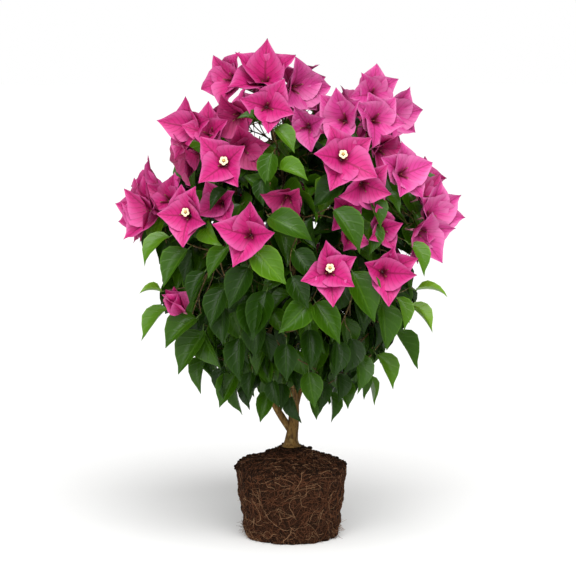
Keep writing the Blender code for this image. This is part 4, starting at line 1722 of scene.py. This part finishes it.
    def blossom_bracts(self, lead: Lead, place: Vector, face: Vector,
                       dice: random.Random) -> list[tuple[Shape, np.ndarray]]:
        """The bracts of a blossom as shapes with their corners' places.

        Args:
            lead: The blossom.
            place: Its throat.
            face: Where it looks.
            dice: Its dice.

        Returns:
            Each bract's shape and corners.
        """
        first, second = side_frame(face, UPWARD)
        made = []
        for number, lobe in enumerate(lead.lobes):
            angle = math.radians(lobe + dice.uniform(-self.lobe_play, self.lobe_play))
            outward = first * math.cos(angle) + second * math.sin(angle)
            play = dice.uniform(-self.lift_play, self.lift_play)
            lift = math.radians(lead.opening.value + play + self.lift_step * (number % 2))
            way = outward * math.cos(lift) + face * math.sin(lift)
            up = face * math.cos(lift) - outward * math.sin(lift)
            roll = math.radians(dice.uniform(-self.bract_play, self.bract_play))
            up = up * math.cos(roll) + way.cross(up) * math.sin(roll)
            shape = self.bract_shapes[dice.choice(lead.cut.value)]
            if lead.opening is Opening.SHUT:
                shape = self.closed_bract
            length = lead.length * dice.uniform(*self.bract_sizes)
            base = place + outward * self.throat_radius
            made.append((shape, shape.laid(stand(base, way, up, length))))
        return made

    def add_heart(self, lead: Lead, place: Vector, face: Vector, dice: random.Random) -> None:
        """Add the tubes and the open flower of a blossom.

        Args:
            lead: The blossom.
            place: Its throat.
            face: Where it looks.
            dice: Its dice.
        """
        first, second = side_frame(face, UPWARD)
        turn = dice.uniform(0.0, math.tau)
        radius = self.tube_radius
        for index in range(2 if lead.heart is Heart.OPEN_FLOWER else 3):
            angle = turn + index * math.tau / 3.0
            outward = first * math.cos(angle) + second * math.sin(angle)
            lean = math.radians(dice.uniform(*self.tube_lean))
            way = face * math.cos(lean) + outward * math.sin(lean)
            start = place + outward * self.tube_apart
            end = start + way * self.tube_length * dice.uniform(0.85, 1.15)
            line = bent_line(start, start.lerp(end, 0.5) + face * 0.001, end, 5)
            self.tubes.bend(self.tube_rod, line, [radius * share for share in self.tube_profile])
            tip = [end - way * 0.0002, end + way * 0.0016]
            self.tube_tips.bend(self.stalk_rod, tip, [radius * 0.95, radius * 0.3])
        if lead.heart is Heart.OPEN_FLOWER:
            top = place + face * self.tube_length * 1.05 + UPWARD * 0.004
            line = bent_line(place, place + face * 0.006, top, 5)
            self.tubes.bend(self.tube_rod, line, list(self.open_tube_radii))
            turned = Matrix((-second, first, face)).transposed().to_4x4()
            for stock, shape, size, lift in ((self.flowers, self.flower_shape, self.flower_radius, 0.0),
                                             (self.eyes, self.eye_shape, self.eye_radius, -0.0003)):
                placing = turned @ Matrix.Scale(size, 4)
                placing.translation = top + face * lift
                stock.add(shape, shape.laid(np.array(placing)))

    def add_blossom(self, wood: Twigs, lead: Lead, place: Vector, face: Vector, seed: str,
                    must: bool) -> bool:
        """Add a blossom with its pedicel and twig, if it finds room.

        Args:
            wood: The wood of its mass.
            lead: What it is like.
            place: Its throat.
            face: Where it looks.
            seed: The seed of its dice.
            must: Whether it is placed even where it touches another.

        Returns:
            True if it was placed.
        """
        dice = random.Random(seed)
        made = self.blossom_bracts(lead, place, face, dice)
        trees = [search_tree(shape, points) for shape, points in made]
        if not must:
            if any(not self.crown.holds(points) or self.fills_window(points) for _, points in made):
                return False
            if any(self.crowd.touches(tree, points) for tree, (_, points) in zip(trees, made)):
                return False
        for tree, (shape, points) in zip(trees, made):
            self.crowd.keep(tree, points)
            self.bracts[lead.tint].add(shape, points)
        self.add_heart(lead, place, face, dice)
        self.throats.append(tuple(place))
        self.faces.append(tuple(face))
        inward = -self.crown.way_to(place)
        back, deeper, down = self.pedicel_offset
        foot = place - face * back + inward * deeper - UPWARD * down
        twig = self.grow_twig(wood, foot)
        pedicel = bent_line(foot, foot.lerp(place, 0.5) - UPWARD * 0.001, place - face * 0.0005, 5)
        self.pedicels.bend(self.stalk_rod, pedicel, list(self.pedicel_radii))
        self.sites.append(Site([twig[0], foot], self.leaves_under_blossom, self.under_blossom_size,
                               self.room(-inward), f"{seed} leaves"))
        if dice.random() < self.bud_chance:
            self.add_buds(foot, inward, dice)
        return True

    def add_buds(self, foot: Vector, inward: Vector, dice: random.Random) -> None:
        """Add a few closed buds beside a blossom.

        Args:
            foot: Where the blossom's pedicel starts.
            inward: The direction of the crown's middle.
            dice: The blossom's dice.
        """
        for _ in range(dice.choice((1, 2, 3))):
            angle = dice.uniform(0.0, math.tau)
            first, second = side_frame(inward, UPWARD)
            way = (first * math.cos(angle) + second * math.sin(angle) - inward * 0.7).normalized()
            start = foot + way * self.bud_stalk
            end = start + (way + UPWARD * 0.3).normalized() * dice.uniform(*self.bud_lengths)
            self.pedicels.bend(self.stalk_rod, [foot, start], [self.bud_radii[0]] * 2)
            self.buds.bend(self.tube_rod, bent_line(start, start.lerp(end, 0.5), end, 5),
                           list(self.bud_radii))

    def in_front(self, way: Vector) -> bool:
        """Whether a direction lies on the front, where only the leading blossoms stand."""
        azimuth = math.degrees(math.atan2(way.x, -way.y))
        return abs(azimuth) < self.front_azimuth and math.degrees(math.asin(way.z)) < self.front_elevation

    def room(self, way: Vector) -> float:
        """How much of the crown is open to the leaves that are not placed by hand.

        Args:
            way: The direction of their twig from the crown's middle.

        Returns:
            The share: less on the front and the sides, where the leading ones stand free.
        """
        if abs(math.degrees(math.atan2(way.x, -way.y))) > self.free_azimuth:
            return 1.0
        low = min(max(-way.z / self.room_fade, 0.0), 1.0)
        return self.high_room + (self.low_room - self.high_room) * low

    def generic_lead(self, way: Vector, dice: random.Random) -> Lead:
        """A blossom of no special place.

        Args:
            way: The direction of its place.
            dice: Its dice.

        Returns:
            The blossom.
        """
        count = dice.choice((4, 4, 5))
        turn = dice.uniform(0.0, 360.0)
        lobes = tuple(turn + 360.0 * index / count for index in range(count))
        heart = Heart.OPEN_FLOWER if dice.random() < self.open_share else Heart.CLOSED_TUBES
        # Painted light and shade: a blossom below the crown's middle never takes the palest tint.
        tint = dice.choice((0, 1, 1, 2) if way.z > 0.0 else (0, 1))
        opening = Opening.HALF if dice.random() < self.half_open_share else Opening.WIDE
        return Lead((0.0, 0.0), 0.0, 0.0, 0.0, self.bract_length * dice.uniform(0.88, 1.1), lobes, heart,
                    opening, tint, dice.choice((Cut.BROAD, Cut.SLIM)))

    def grow_blossom(self, wood: Twigs, shoot: Shoot) -> None:
        """Grow a shoot's cluster: one blossom, and up to two beside it that lean away.

        Args:
            wood: The wood of its mass.
            shoot: The shoot.
        """
        for member in range(3):
            dice = random.Random(f"{SEED} shoot {shoot.number} {member}")
            if member and dice.random() < self.beside_gap:
                continue
            for attempt in range(5):
                way = shoot.way
                tilt = dice.uniform(*self.first_tilts)
                angle = dice.uniform(0.0, math.tau)
                first, second = side_frame(way, UPWARD)
                aside = first * math.cos(angle) + second * math.sin(angle)
                if member:
                    offset = math.radians(dice.uniform(*self.beside_angles))
                    way = way * math.cos(offset) + aside * math.sin(offset)
                    tilt = dice.uniform(*self.beside_tilts)
                reach = self.blossom_reach + dice.uniform(*self.reach_play)
                place = self.crown.filled_point(way, reach - 0.05 * attempt - 0.03 * member)
                lean = math.radians(tilt)
                face = (self.crown.way_to(place) * math.cos(lean) + aside * math.sin(lean)
                        + UPWARD * 0.12).normalized()
                lead = self.generic_lead(way, dice)
                seed = f"{SEED} blossom {shoot.number} {member} {attempt}"
                if self.add_blossom(wood, lead, place, face, seed, False):
                    break

    def hides_blossom(self, points: np.ndarray) -> bool:
        """Whether a leaf would hang before the face of a blossom.

        Args:
            points: The leaf's corners.

        Returns:
            True if it would.
        """
        arms = points[:, None, :] - np.array(self.throats)[None, :, :]
        ahead = (arms * np.array(self.faces)[None, :, :]).sum(axis=2)
        lengths = np.linalg.norm(arms, axis=2)
        return bool(((lengths < self.open_reach) & (ahead > lengths * math.cos(self.open_angle))).any())

    def hides_fork(self, points: np.ndarray) -> bool:
        """Whether a leaf with its corners at these points would hang before the fork of the stems."""
        (x, y, z), (left, right, back, top) = points.T, self.fork_window
        return bool(((x > left) & (x < right) & (y < back) & (z < top)).any())

    def fills_window(self, points: np.ndarray) -> bool:
        """Whether a blade would grow across one of the open lines through the crown.

        Args:
            points: The blade's corners.

        Returns:
            True if it would.
        """
        for start, along in self.open_lines:
            arms = points - start
            across = arms - np.outer(arms @ along, along)
            if (np.linalg.norm(across, axis=1) < self.window_radius).any():
                return True
        return False

    def add_leaf(self, shape: Shape, points: np.ndarray, tint: int, tree: BVHTree) -> None:
        """Add a leaf, its corners at these points, and remember it."""
        self.crowd.keep(tree, points)
        self.leaves[tint].add(shape, points)

    def add_stalk(self, root: Vector, bow: Vector, end: Vector, thick: float, middle: float) -> None:
        """Add a leaf's stalk, so much thicker at its root and half way than at the leaf."""
        radii = [self.petiole_radius * share for share in (thick, middle, 1.0)]
        self.stalks.bend(self.stalk_rod, bent_line(root, bow, end, 3), radii)

    def add_leaf_lead(self, wood: Twigs, lead: LeafLead, base: Vector, number: int) -> None:
        """Add a leaf that leads the front, with its stalk and twig.

        Args:
            wood: The wood of its mass.
            lead: The leaf.
            base: Its base.
            number: Its number, which picks its shape.
        """
        tip = self.view.at_depth(lead.tip, base.y - self.tip_forward)
        way = (tip - base).normalized()
        outward = self.crown.way_to(base)
        shapes = self.hanging if way.z < self.hang_slope else self.spreading
        shape = shapes[number % len(shapes)]
        size = (tip - base).length / float(shape.points[:, 1].max())
        points = shape.laid(stand(base, way, outward + UPWARD * lead.skyward, size))
        self.add_leaf(shape, points, lead.tint, search_tree(shape, points))
        root = base - outward * self.petiole * 0.7 - way * self.petiole * 0.6
        self.grow_twig(wood, root)
        self.add_stalk(root, root + outward * self.petiole * 0.5, base + way * 0.001, 1.3, 1.1)

    def leaf_tint(self, place: Vector, dice: random.Random) -> int:
        """The finish that suits a leaf's place: paler where it is light, at random within that.

        Args:
            place: The leaf's root.
            dice: The shoot's dice.

        Returns:
            The finish's number.
        """
        depth = self.crown.depth(place)
        height = (place.z - self.crown.middle[2]) / self.crown.half_height
        draw = dice.random()
        # Painted shade: every leaf deep in the crown takes the darkest tint.
        if depth < self.shade_depth:
            return 0
        # Painted light: the further out and the higher a leaf grows, the paler its tint, with a random
        # draw on top.
        light = 0.50 * (depth - 0.6) / 0.4 + 0.20 * max(height, -0.3) + draw * 0.60
        return sum(light >= step for step in self.tint_steps)

    def try_leaf(self, root: Vector, way: Vector, up: Vector, size: float, room: float,
                 dice: random.Random) -> bool:
        """Set a leaf on its stalk if it touches nothing and stays within the crown.

        Args:
            root: Where its stalk leaves the twig.
            way: The direction of its length.
            up: Where its upper face looks.
            size: Its length in metres.
            room: How much of the crown is open to it.
            dice: The shoot's dice.

        Returns:
            True if it was set.
        """
        shape = dice.choice(self.hanging if way.z < self.hang_slope else self.spreading)
        for scale in self.leaf_scales:
            lead = (way + up * self.petiole_lift).normalized()
            base = root + lead * self.petiole * scale
            points = shape.laid(stand(base, way, up, size * scale))
            if not self.crown.holds(points, room) or self.hides_blossom(points):
                continue
            if self.hides_fork(points) or self.fills_window(points):
                continue
            tree = search_tree(shape, points)
            if self.crowd.touches(tree, points):
                continue
            self.add_leaf(shape, points, self.leaf_tint(root, dice), tree)
            self.add_stalk(root, root + lead * self.petiole * 0.5, base + way * 0.001, 1.2, 1.0)
            return True
        return False

    def grow_leaves(self, site: Site) -> None:
        """Grow the leaves of one twig, each a golden angle on, hanging out and down.

        Args:
            site: The twig's end.
        """
        dice = random.Random(site.seed)
        tip = site.line[-1]
        back = site.line[-2] - tip
        length = back.length
        back.normalize()
        turn = dice.uniform(0.0, math.tau)
        grown = 0
        for index in range(site.count * self.leaf_tries):
            if grown == site.count:
                break
            root = tip + back * min(grown * self.leaf_spacing, length)
            outward = self.crown.way_to(root)
            first, second = side_frame(outward, UPWARD)
            angle = turn + index * GOLDEN_ANGLE
            spread = first * math.cos(angle) + second * math.sin(angle)
            low = min(max(self.low_from - outward.z, 0.0) / self.low_fade, 1.0)
            level = Vector((outward.x, outward.y, 0.0)).normalized()
            droop = self.droop_high + (self.droop_low - self.droop_high) * low
            play = Vector(tuple(dice.gauss(0.0, self.leaf_wander) for _ in range(3)))
            way = (level * math.cos(droop) - UPWARD * math.sin(droop)
                   + spread * (self.spread_high - self.spread_less * low) + play * 0.5).normalized()
            lean = self.front_lean * abs(level.x) * min(max(0.8 - level.y, 0.0), 1.0)
            up = level * math.sin(droop) + UPWARD * math.cos(droop) - BACKWARD * lean
            up = Matrix.Rotation(dice.gauss(0.0, self.leaf_twist), 3, way) @ up
            size = self.leaf_length * site.size * (1.0 - self.shrink_low * low)
            size *= dice.uniform(*self.leaf_sizes)
            grown += self.try_leaf(root, way, up, size, site.room, dice)

    def grow_leads(self, wood: dict[str, Twigs]) -> None:
        """Place the blossoms and the leaves that lead the front.

        Args:
            wood: The wood of every mass.
        """
        for number, lead in enumerate(LEADS):
            place = self.view.place(lead.spot, lead.reach)
            face = way_from_angles(lead.face_azimuth, lead.face_elevation)
            self.add_blossom(wood[self.nearest(self.crown.way_to(place))], lead, place, face,
                             f"{SEED} lead {number}", True)
        for number, lead in enumerate(LEAF_LEADS):
            base = self.view.place(lead.base, lead.reach)
            self.add_leaf_lead(wood[self.nearest(self.crown.way_to(base))], lead, base, number)

    def grow_shoots(self, wood: dict[str, Twigs]) -> None:
        """Grow the crown's shoots, first those in blossom and then the leafy ones.

        Args:
            wood: The wood of every mass.
        """
        shoots = self.crown.shoots(CAD_LEAD_COUNT)
        blossoming = [shoot for shoot in shoots if shoot.blossoms and not self.in_front(shoot.way)]
        for shoot in blossoming:
            self.grow_blossom(wood[self.nearest(shoot.way)], shoot)
        for shoot in shoots:
            if shoot in blossoming:
                continue
            dice = random.Random(f"{SEED} shoot {shoot.number}")
            place = self.crown.filled_point(shoot.way, self.leaf_reach + dice.uniform(*self.reach_play))
            twig = self.grow_twig(wood[self.nearest(shoot.way)], place)
            self.sites.append(Site(twig, self.leaves_on_shoot, 1.0, self.room(shoot.way),
                                   f"{SEED} shoot {shoot.number} leaves"))

    def grow_layers(self, wood: dict[str, Twigs]) -> None:
        """Grow the fine twigs that fill the crown, the inmost layer first.

        Args:
            wood: The wood of every mass.
        """
        for layer, (reach, count, leaves) in reversed(list(enumerate(self.layers))):
            for step in range(count):
                way, elevation = self.crown.spiral(count, step)
                if elevation < self.crown.skirt_elevation - self.layer_skirt:
                    continue
                dice = random.Random(f"{SEED} fine {layer} {step}")
                light = min(max((elevation + 5.0) / 30.0, 0.0), 1.0)
                outer = reach - self.light_dent * light if layer == 0 else reach
                outer = min(outer, self.room(way) - self.room_margin)
                place = self.crown.filled_point(way, outer + dice.uniform(*self.layer_play))
                twig = self.grow_twig(wood[self.nearest(way)], place)
                self.sites.append(Site(twig, leaves, self.layer_sizes[layer], self.room(way),
                                       f"{SEED} fine {layer} {step} leaves"))

    def build(self, limbs: dict[str, Limb]) -> None:
        """Grow every mass, its wood and blossoms first, and join what grew into pieces.

        Args:
            limbs: The limbs that carry the masses.
        """
        wood = {}
        for name, plan in MASSES.items():
            limb = limbs[plan.parent] if plan.share == 1.0 else limbs[f"{name}_bough"]
            wood[name] = Twigs()
            self.twigs.bend(self.twig_rod, *wood[name].grow_stem(self.crown, plan, limb))
        self.grow_leads(wood)
        self.grow_shoots(wood)
        self.grow_layers(wood)
        self.sites.sort(key=lambda site: -self.crown.depth(site.line[-1]))
        for site in self.sites:
            self.grow_leaves(site)
        blossoming = tuple(name for name in MASSES if not name.startswith("low_"))
        for stock in (*self.leaves, self.twigs, self.stalks):
            stock.join(tuple(MASSES))
        for stock in (*self.bracts, self.pedicels, self.tubes, self.tube_tips, self.buds, self.flowers,
                      self.eyes):
            stock.join(blossoming)


# --- The wood ---


@dataclass(frozen=True)
class BarkRelief:
    """The uneven surface of a limb: shallow furrows along it and a knob at each old leaf scar."""

    furrow_depth: float = 0.00045
    furrows_round: float = 2.2
    furrow_length: float = 0.016
    grain_depth: float = 0.00016
    grains_round: float = 6.0
    grain_length: float = 0.004
    full_radius: float = 0.006
    knob_height: float = 0.0007
    knob_spacing: float = 0.024
    knob_length: float = 0.0028

    def __call__(self, angle: float, along: float, radius: float) -> float:
        """What the relief adds to the radius.

        Args:
            angle: The angle round the limb.
            along: The distance along it in metres.
            radius: The limb's radius there.

        Returns:
            The rise in metres.
        """
        x, y = math.cos(angle), math.sin(angle)
        scale = min(radius / self.full_radius, 1.0)
        rise = Vector((0.0, 0.0, along / self.furrow_length))
        furrow = noise.noise(Vector((x, y, 0.0)) * self.furrows_round + rise)
        grain = noise.noise(Vector((x * self.grains_round, y * self.grains_round,
                                    along / self.grain_length)))
        place = along / self.knob_spacing
        number = round(place)
        turn = number * GOLDEN_ANGLE
        facing = max(0.0, math.cos(angle - turn))
        reach = (place - number) * self.knob_spacing / self.knob_length
        knob = facing ** 3 * math.exp(-reach * reach)
        return scale * (self.furrow_depth * furrow + self.grain_depth * grain + self.knob_height * knob)


@dataclass(frozen=True)
class Woodwork:
    """The trunk, the second stem and the boughs with their bark."""

    trunk_sides: int = 40
    trunk_rings: int = 230
    stem_sides: int = 28
    stem_rings: int = 160
    bough_sides: int = 18
    bough_rings: int = 60

    def build(self, limbs: dict[str, Limb]) -> None:
        """Build the limbs' pieces.

        Args:
            limbs: The limbs.
        """
        relief = BarkRelief()
        boughs = Stock("boughs_bark", WOOD_BARK, "bark")
        rods = {"trunk": rod_shape(self.trunk_sides, self.trunk_rings),
                "left_stem": rod_shape(self.stem_sides, self.stem_rings)}
        bough_rod = rod_shape(self.bough_sides, self.bough_rings)
        for name, limb in limbs.items():
            shares = np.linspace(0.0, 1.0, len(limb.fine))
            radii = np.interp(shares, np.linspace(0.0, 1.0, len(limb.radii)), limb.radii)
            if name == "trunk":
                radii = np.interp([point.z for point in limb.fine],
                                  [point.z for point in limb.line], limb.radii)
            rod = rods.get(name, bough_rod)
            points = rod_along(rod, limb.fine, list(radii), relief)
            if name in rods:
                stock = Stock(f"{name}_bark", WOOD_BARK, "bark")
                stock.add(rod, points)
                stock.join((name,))
            else:
                boughs.add(rod, points)
        boughs.join(tuple(name for name in limbs if name not in rods))


# --- The root ball ---


@dataclass
class RootBall:
    """The peat plug with its crumbs and the net of fine roots that holds it."""

    voxel: float = 0.0013
    lump_size: float = 0.013
    lump_depth: float = 0.0062
    crumb_size: float = 0.0038
    crumb_depth: float = 0.0030
    foot_band: float = 0.0012
    rim_height: float = BALL_HEIGHT
    rim_radius: float = 0.0655
    foot_radius: float = 0.055
    least_height: float = 0.0006
    clod_count: int = 560
    clod_sizes: tuple = (0.0010, 0.0032)
    rim_share: float = 0.45
    root_counts: tuple = (1000, 950, 330)
    root_points: int = 9
    root_radii: tuple = (0.00018, 0.00042)
    root_paces: tuple = (0.0018, 0.0048)
    root_thinning: float = 0.45
    stray_count: int = 320
    stray_points: int = 6
    stray_radii: tuple = (0.0002, 0.00038)
    stray_tip: float = 0.0001
    low_strays: float = 0.75

    def build(self) -> None:
        """Build the peat, the clods and the roots."""
        ball = self.build_peat()
        graph = bpy.context.evaluated_depsgraph_get()
        graph.update()
        surface = BVHTree.FromObject(ball, graph)
        self.build_clods(surface)
        self.build_roots(surface)

    def build_peat(self) -> Thing:
        """The plug itself: the node's own shape, remeshed fine and pushed into lumps and crumbs.

        Returns:
            The piece.
        """
        mesh = frame["nodes"]["root_ball"].data.copy()
        ball = bpy.data.objects.new("root_ball_peat", mesh)
        bpy.context.scene.collection.objects.link(ball)
        open_tool(ball)
        bpy.ops.mesh.select_all(action="SELECT")
        bpy.ops.mesh.remove_doubles(threshold=MERGE)
        bpy.ops.object.mode_set(mode="OBJECT")
        remesh = ball.modifiers.new("even", "REMESH")
        remesh.mode = "VOXEL"
        remesh.voxel_size = self.voxel
        bpy.ops.object.modifier_apply(modifier="even")
        for name, size, depth in (("lumps", self.lump_size, self.lump_depth),
                                  ("crumbs", self.crumb_size, self.crumb_depth)):
            texture = bpy.data.textures.new(name, "CLOUDS")
            texture.noise_scale = size
            texture.noise_depth = 3
            push = ball.modifiers.new(name, "DISPLACE")
            push.texture = texture
            push.texture_coords = "LOCAL"
            push.strength = depth
            push.mid_level = 0.55
            bpy.ops.object.modifier_apply(modifier=name)
        for corner in ball.data.vertices:
            if corner.co.z < self.foot_band:
                corner.co.z = 0.0
        ball.data.shade_smooth()
        settle_piece(ball, PEAT, ("root_ball",))
        return ball

    def clod_shapes(self) -> list[Shape]:
        """Model a few uneven crumbs of peat, one unit in radius.

        Returns:
            The shapes.
        """
        made = []
        for number in range(4):
            bpy.ops.object.select_all(action="DESELECT")
            bpy.ops.mesh.primitive_ico_sphere_add(subdivisions=2, radius=1.0)
            clod = bpy.context.object
            open_tool(clod)
            bpy.ops.mesh.select_all(action="SELECT")
            bpy.ops.transform.vertex_random(offset=0.24, uniform=1.0, normal=0.0, seed=number)
            bpy.ops.transform.resize(value=(1.0, 0.8, 0.6), center_override=(0.0, 0.0, 0.0))
            bpy.ops.object.mode_set(mode="OBJECT")
            made.append(take_shape(clod))
        return made

    def build_clods(self, surface: BVHTree) -> None:
        """Loose crumbs pressed into the top and the rim.

        Args:
            surface: The peat's search tree.
        """
        shapes = self.clod_shapes()
        stock = Stock("peat_clods", PEAT, "peat")
        dice = random.Random(f"{SEED} clods")
        for _ in range(self.clod_count):
            angle = dice.uniform(0.0, math.tau)
            inner = 0.86 if dice.random() < self.rim_share else 0.03
            reach = self.rim_radius * math.sqrt(dice.uniform(inner, 1.0)) * 0.99
            start = Vector((reach * math.cos(angle), reach * math.sin(angle), 0.2))
            place, normal, _, _ = surface.ray_cast(start, -UPWARD)
            if place is None:
                continue
            size = dice.uniform(*self.clod_sizes)
            turned = Matrix.Rotation(dice.uniform(0.0, math.tau), 4, "Z")
            turned = turned @ Matrix.Rotation(dice.uniform(-0.6, 0.6), 4, "X")
            placing = Matrix.Translation(place + normal * size * 0.15) @ turned @ Matrix.Scale(size, 4)
            shape = dice.choice(shapes)
            stock.add(shape, shape.laid(np.array(placing)))
        stock.join(("root_ball",))

    def build_roots(self, surface: BVHTree) -> None:
        """The net of fine roots, and the short strays that stand off the foot.

        Args:
            surface: The peat's search tree.
        """
        rod = rod_shape(3, self.root_points)
        stocks = [Stock(f"roots_{tint}", finish, "peat")
                  for tint, finish in (("dark", ROOT_DARK), ("red", ROOT_RED), ("pale", ROOT_PALE))]
        for stock, count in zip(stocks, self.root_counts):
            for number in range(count):
                dice = random.Random(f"{SEED} {stock.name} {number}")
                line = self.surface_root(surface, dice)
                thick = dice.uniform(*self.root_radii)
                stock.bend(rod, line, list(np.linspace(thick, thick * self.root_thinning, len(line))))
        for number in range(self.stray_count):
            dice = random.Random(f"{SEED} stray {number}")
            line = self.stray_root(surface, dice)
            if line is None:
                continue
            radii = list(np.linspace(dice.uniform(*self.stray_radii), self.stray_tip, len(line)))
            stocks[dice.choice((1, 2))].bend(rod, line, radii)
        for stock in stocks:
            stock.join(("root_ball",))

    def surface_root(self, surface: BVHTree, dice: random.Random) -> Line:
        """The line of a root that winds over the peat.

        Args:
            surface: The peat's search tree.
            dice: The root's dice.

        Returns:
            Its line.
        """
        angle = dice.uniform(0.0, math.tau)
        height = dice.uniform(0.0, 0.125)
        level = min(height, self.rim_height)
        inward = max(0.0, height - self.rim_height) * 1.3
        radius = self.foot_radius + (self.rim_radius - self.foot_radius) * level / self.rim_height - inward
        place = Vector((radius * math.cos(angle), radius * math.sin(angle), level))
        heading = Vector((dice.gauss(0, 1), dice.gauss(0, 1), dice.gauss(0, 0.7))).normalized()
        pace = dice.uniform(*self.root_paces)
        line = []
        for _ in range(self.root_points):
            near, normal, _, _ = surface.find_nearest(place)
            spot = near + normal * dice.uniform(0.0, 0.0006)
            spot.z = max(spot.z, self.least_height)
            line.append(spot)
            heading += Vector((dice.gauss(0, 0.32), dice.gauss(0, 0.32), dice.gauss(0, 0.32)))
            heading -= normal * heading.dot(normal)
            heading.normalize()
            place = spot + heading * pace
        return line

    def stray_root(self, surface: BVHTree, dice: random.Random) -> Line | None:
        """The line of a short root that stands off the side or the foot.

        Args:
            surface: The peat's search tree.
            dice: The root's dice.

        Returns:
            Its line, or None where it finds no foothold.
        """
        angle = dice.uniform(0.0, math.tau)
        low = dice.random() < self.low_strays
        level = dice.uniform(0.002, 0.016) if low else dice.uniform(0.016, self.rim_height)
        outward = Vector((math.cos(angle), math.sin(angle), 0.0))
        place, normal, _, _ = surface.ray_cast(outward * 0.2 + UPWARD * level, -outward)
        if place is None:
            return None
        length = dice.uniform(0.004, 0.012) if low else dice.uniform(0.002, 0.005)
        drift = Vector((dice.gauss(0, 0.5), dice.gauss(0, 0.5), dice.gauss(-0.4, 0.3)))
        heading = (outward + drift).normalized()
        line = [place - normal * 0.001]
        for _ in range(self.stray_points):
            drift = Vector((dice.gauss(0, 0.25), dice.gauss(0, 0.25), dice.gauss(0, 0.2)))
            heading = (heading + drift).normalized()
            spot = line[-1] + heading * length / self.stray_points
            spot.z = max(spot.z, self.least_height)
            line.append(spot)
        return line


# --- The studio ---


@dataclass(frozen=True)
class Softbox:
    """One soft light: the length of its side in metres and its power in watts."""

    name: str
    place: tuple[float, float, float]
    size: float
    power: float


@dataclass(frozen=True)
class Studio:
    """A plain pale floor, soft lights and the camera.

    The sky looks white to the camera and lights the plant with less than that,
    so that the leaves keep dark gaps between them.
    """

    aim: tuple[float, float, float] = AIM
    camera_place: tuple[float, float, float] = EYE
    frame_height: float = VIEW_HEIGHT
    floor_size: float = 40.0
    sensor: float = 36.0
    sky: str = "#ffffff"
    sky_seen: float = 1.0
    sky_strength: float = 0.50
    sun_way: tuple[float, float, float] = (0.15, -1.0, 1.25)
    sun_strength: float = 2.9
    sun_angle: float = 46.0
    lights: tuple[Softbox, ...] = (
        Softbox("fill", (-1.1, -2.3, 1.0), 1.3, 18.0),
    )

    def build(self) -> None:
        """Set up the floor, the lights, the sky and the camera."""
        self.build_floor()
        self.build_sun()
        for light in self.lights:
            self.build_light(light)
        self.build_sky()
        self.build_camera()

    def aimed(self, place: Vector) -> Matrix:
        """The placing of something that stands at a place and looks at the plant."""
        turned = (Vector(self.aim) - place).to_track_quat("-Z", "Y").to_matrix().to_4x4()
        return Matrix.Translation(place) @ turned

    def build_floor(self) -> None:
        """The pale floor under the root ball."""
        bpy.ops.object.select_all(action="DESELECT")
        bpy.ops.mesh.primitive_plane_add(size=self.floor_size, location=(0.0, 0.0, 0.0))
        floor = bpy.context.object
        floor.name = "floor"
        floor.data.materials.append(FLOOR_PAINT.make())

    def build_light(self, light: Softbox) -> None:
        """One soft light.

        Args:
            light: The light.
        """
        bpy.ops.object.select_all(action="DESELECT")
        bpy.ops.object.light_add(type="AREA", location=light.place)
        lamp = bpy.context.object
        lamp.name = light.name
        lamp.data.shape = "SQUARE"
        lamp.data.size = light.size
        lamp.data.energy = light.power
        lamp.matrix_world = self.aimed(Vector(light.place))

    def build_sun(self) -> None:
        """The key: one broad, soft and even light from the upper right of the front."""
        bpy.ops.object.select_all(action="DESELECT")
        bpy.ops.object.light_add(type="SUN", location=self.sun_way)
        sun = bpy.context.object
        sun.name = "key"
        sun.data.energy = self.sun_strength
        sun.data.angle = math.radians(self.sun_angle)
        sun.matrix_world = self.aimed(Vector(self.sun_way) * 3.0)

    def build_sky(self) -> None:
        """The even light of a white room."""
        world = bpy.data.worlds.new("white_room")
        bpy.context.scene.world = world
        world.use_nodes = True
        tree = world.node_tree
        back = tree.nodes["Background"]
        back.inputs["Color"].default_value = to_linear(self.sky)
        seen = add_node(tree, "ShaderNodeLightPath").outputs["Is Camera Ray"]
        strength = scaled(tree, seen, self.sky_seen - self.sky_strength, self.sky_strength)
        tree.links.new(strength, back.inputs["Strength"])

    def build_camera(self) -> None:
        """The camera: a little above the crown's middle, with a long lens."""
        bpy.ops.object.select_all(action="DESELECT")
        bpy.ops.object.camera_add(location=self.camera_place)
        camera = bpy.context.object
        camera.name = "camera"
        camera.matrix_world = self.aimed(Vector(self.camera_place))
        distance = (Vector(self.aim) - Vector(self.camera_place)).length
        camera.data.sensor_width = self.sensor
        camera.data.lens = self.sensor * distance / self.frame_height
        camera.data.clip_end = 100.0
        bpy.context.scene.camera = camera
        bpy.context.scene.view_settings.view_transform = "Standard"


def main() -> None:
    """Build the studio and the plant, piece by piece."""
    logging.basicConfig(level=logging.INFO, format="%(message)s")
    Studio().build()
    crown = Crown()
    limbs = Framework().limbs(crown)
    RootBall().build()
    Woodwork().build(limbs)
    Foliage(crown).build(limbs)


if __name__ == "__main__":
    main()
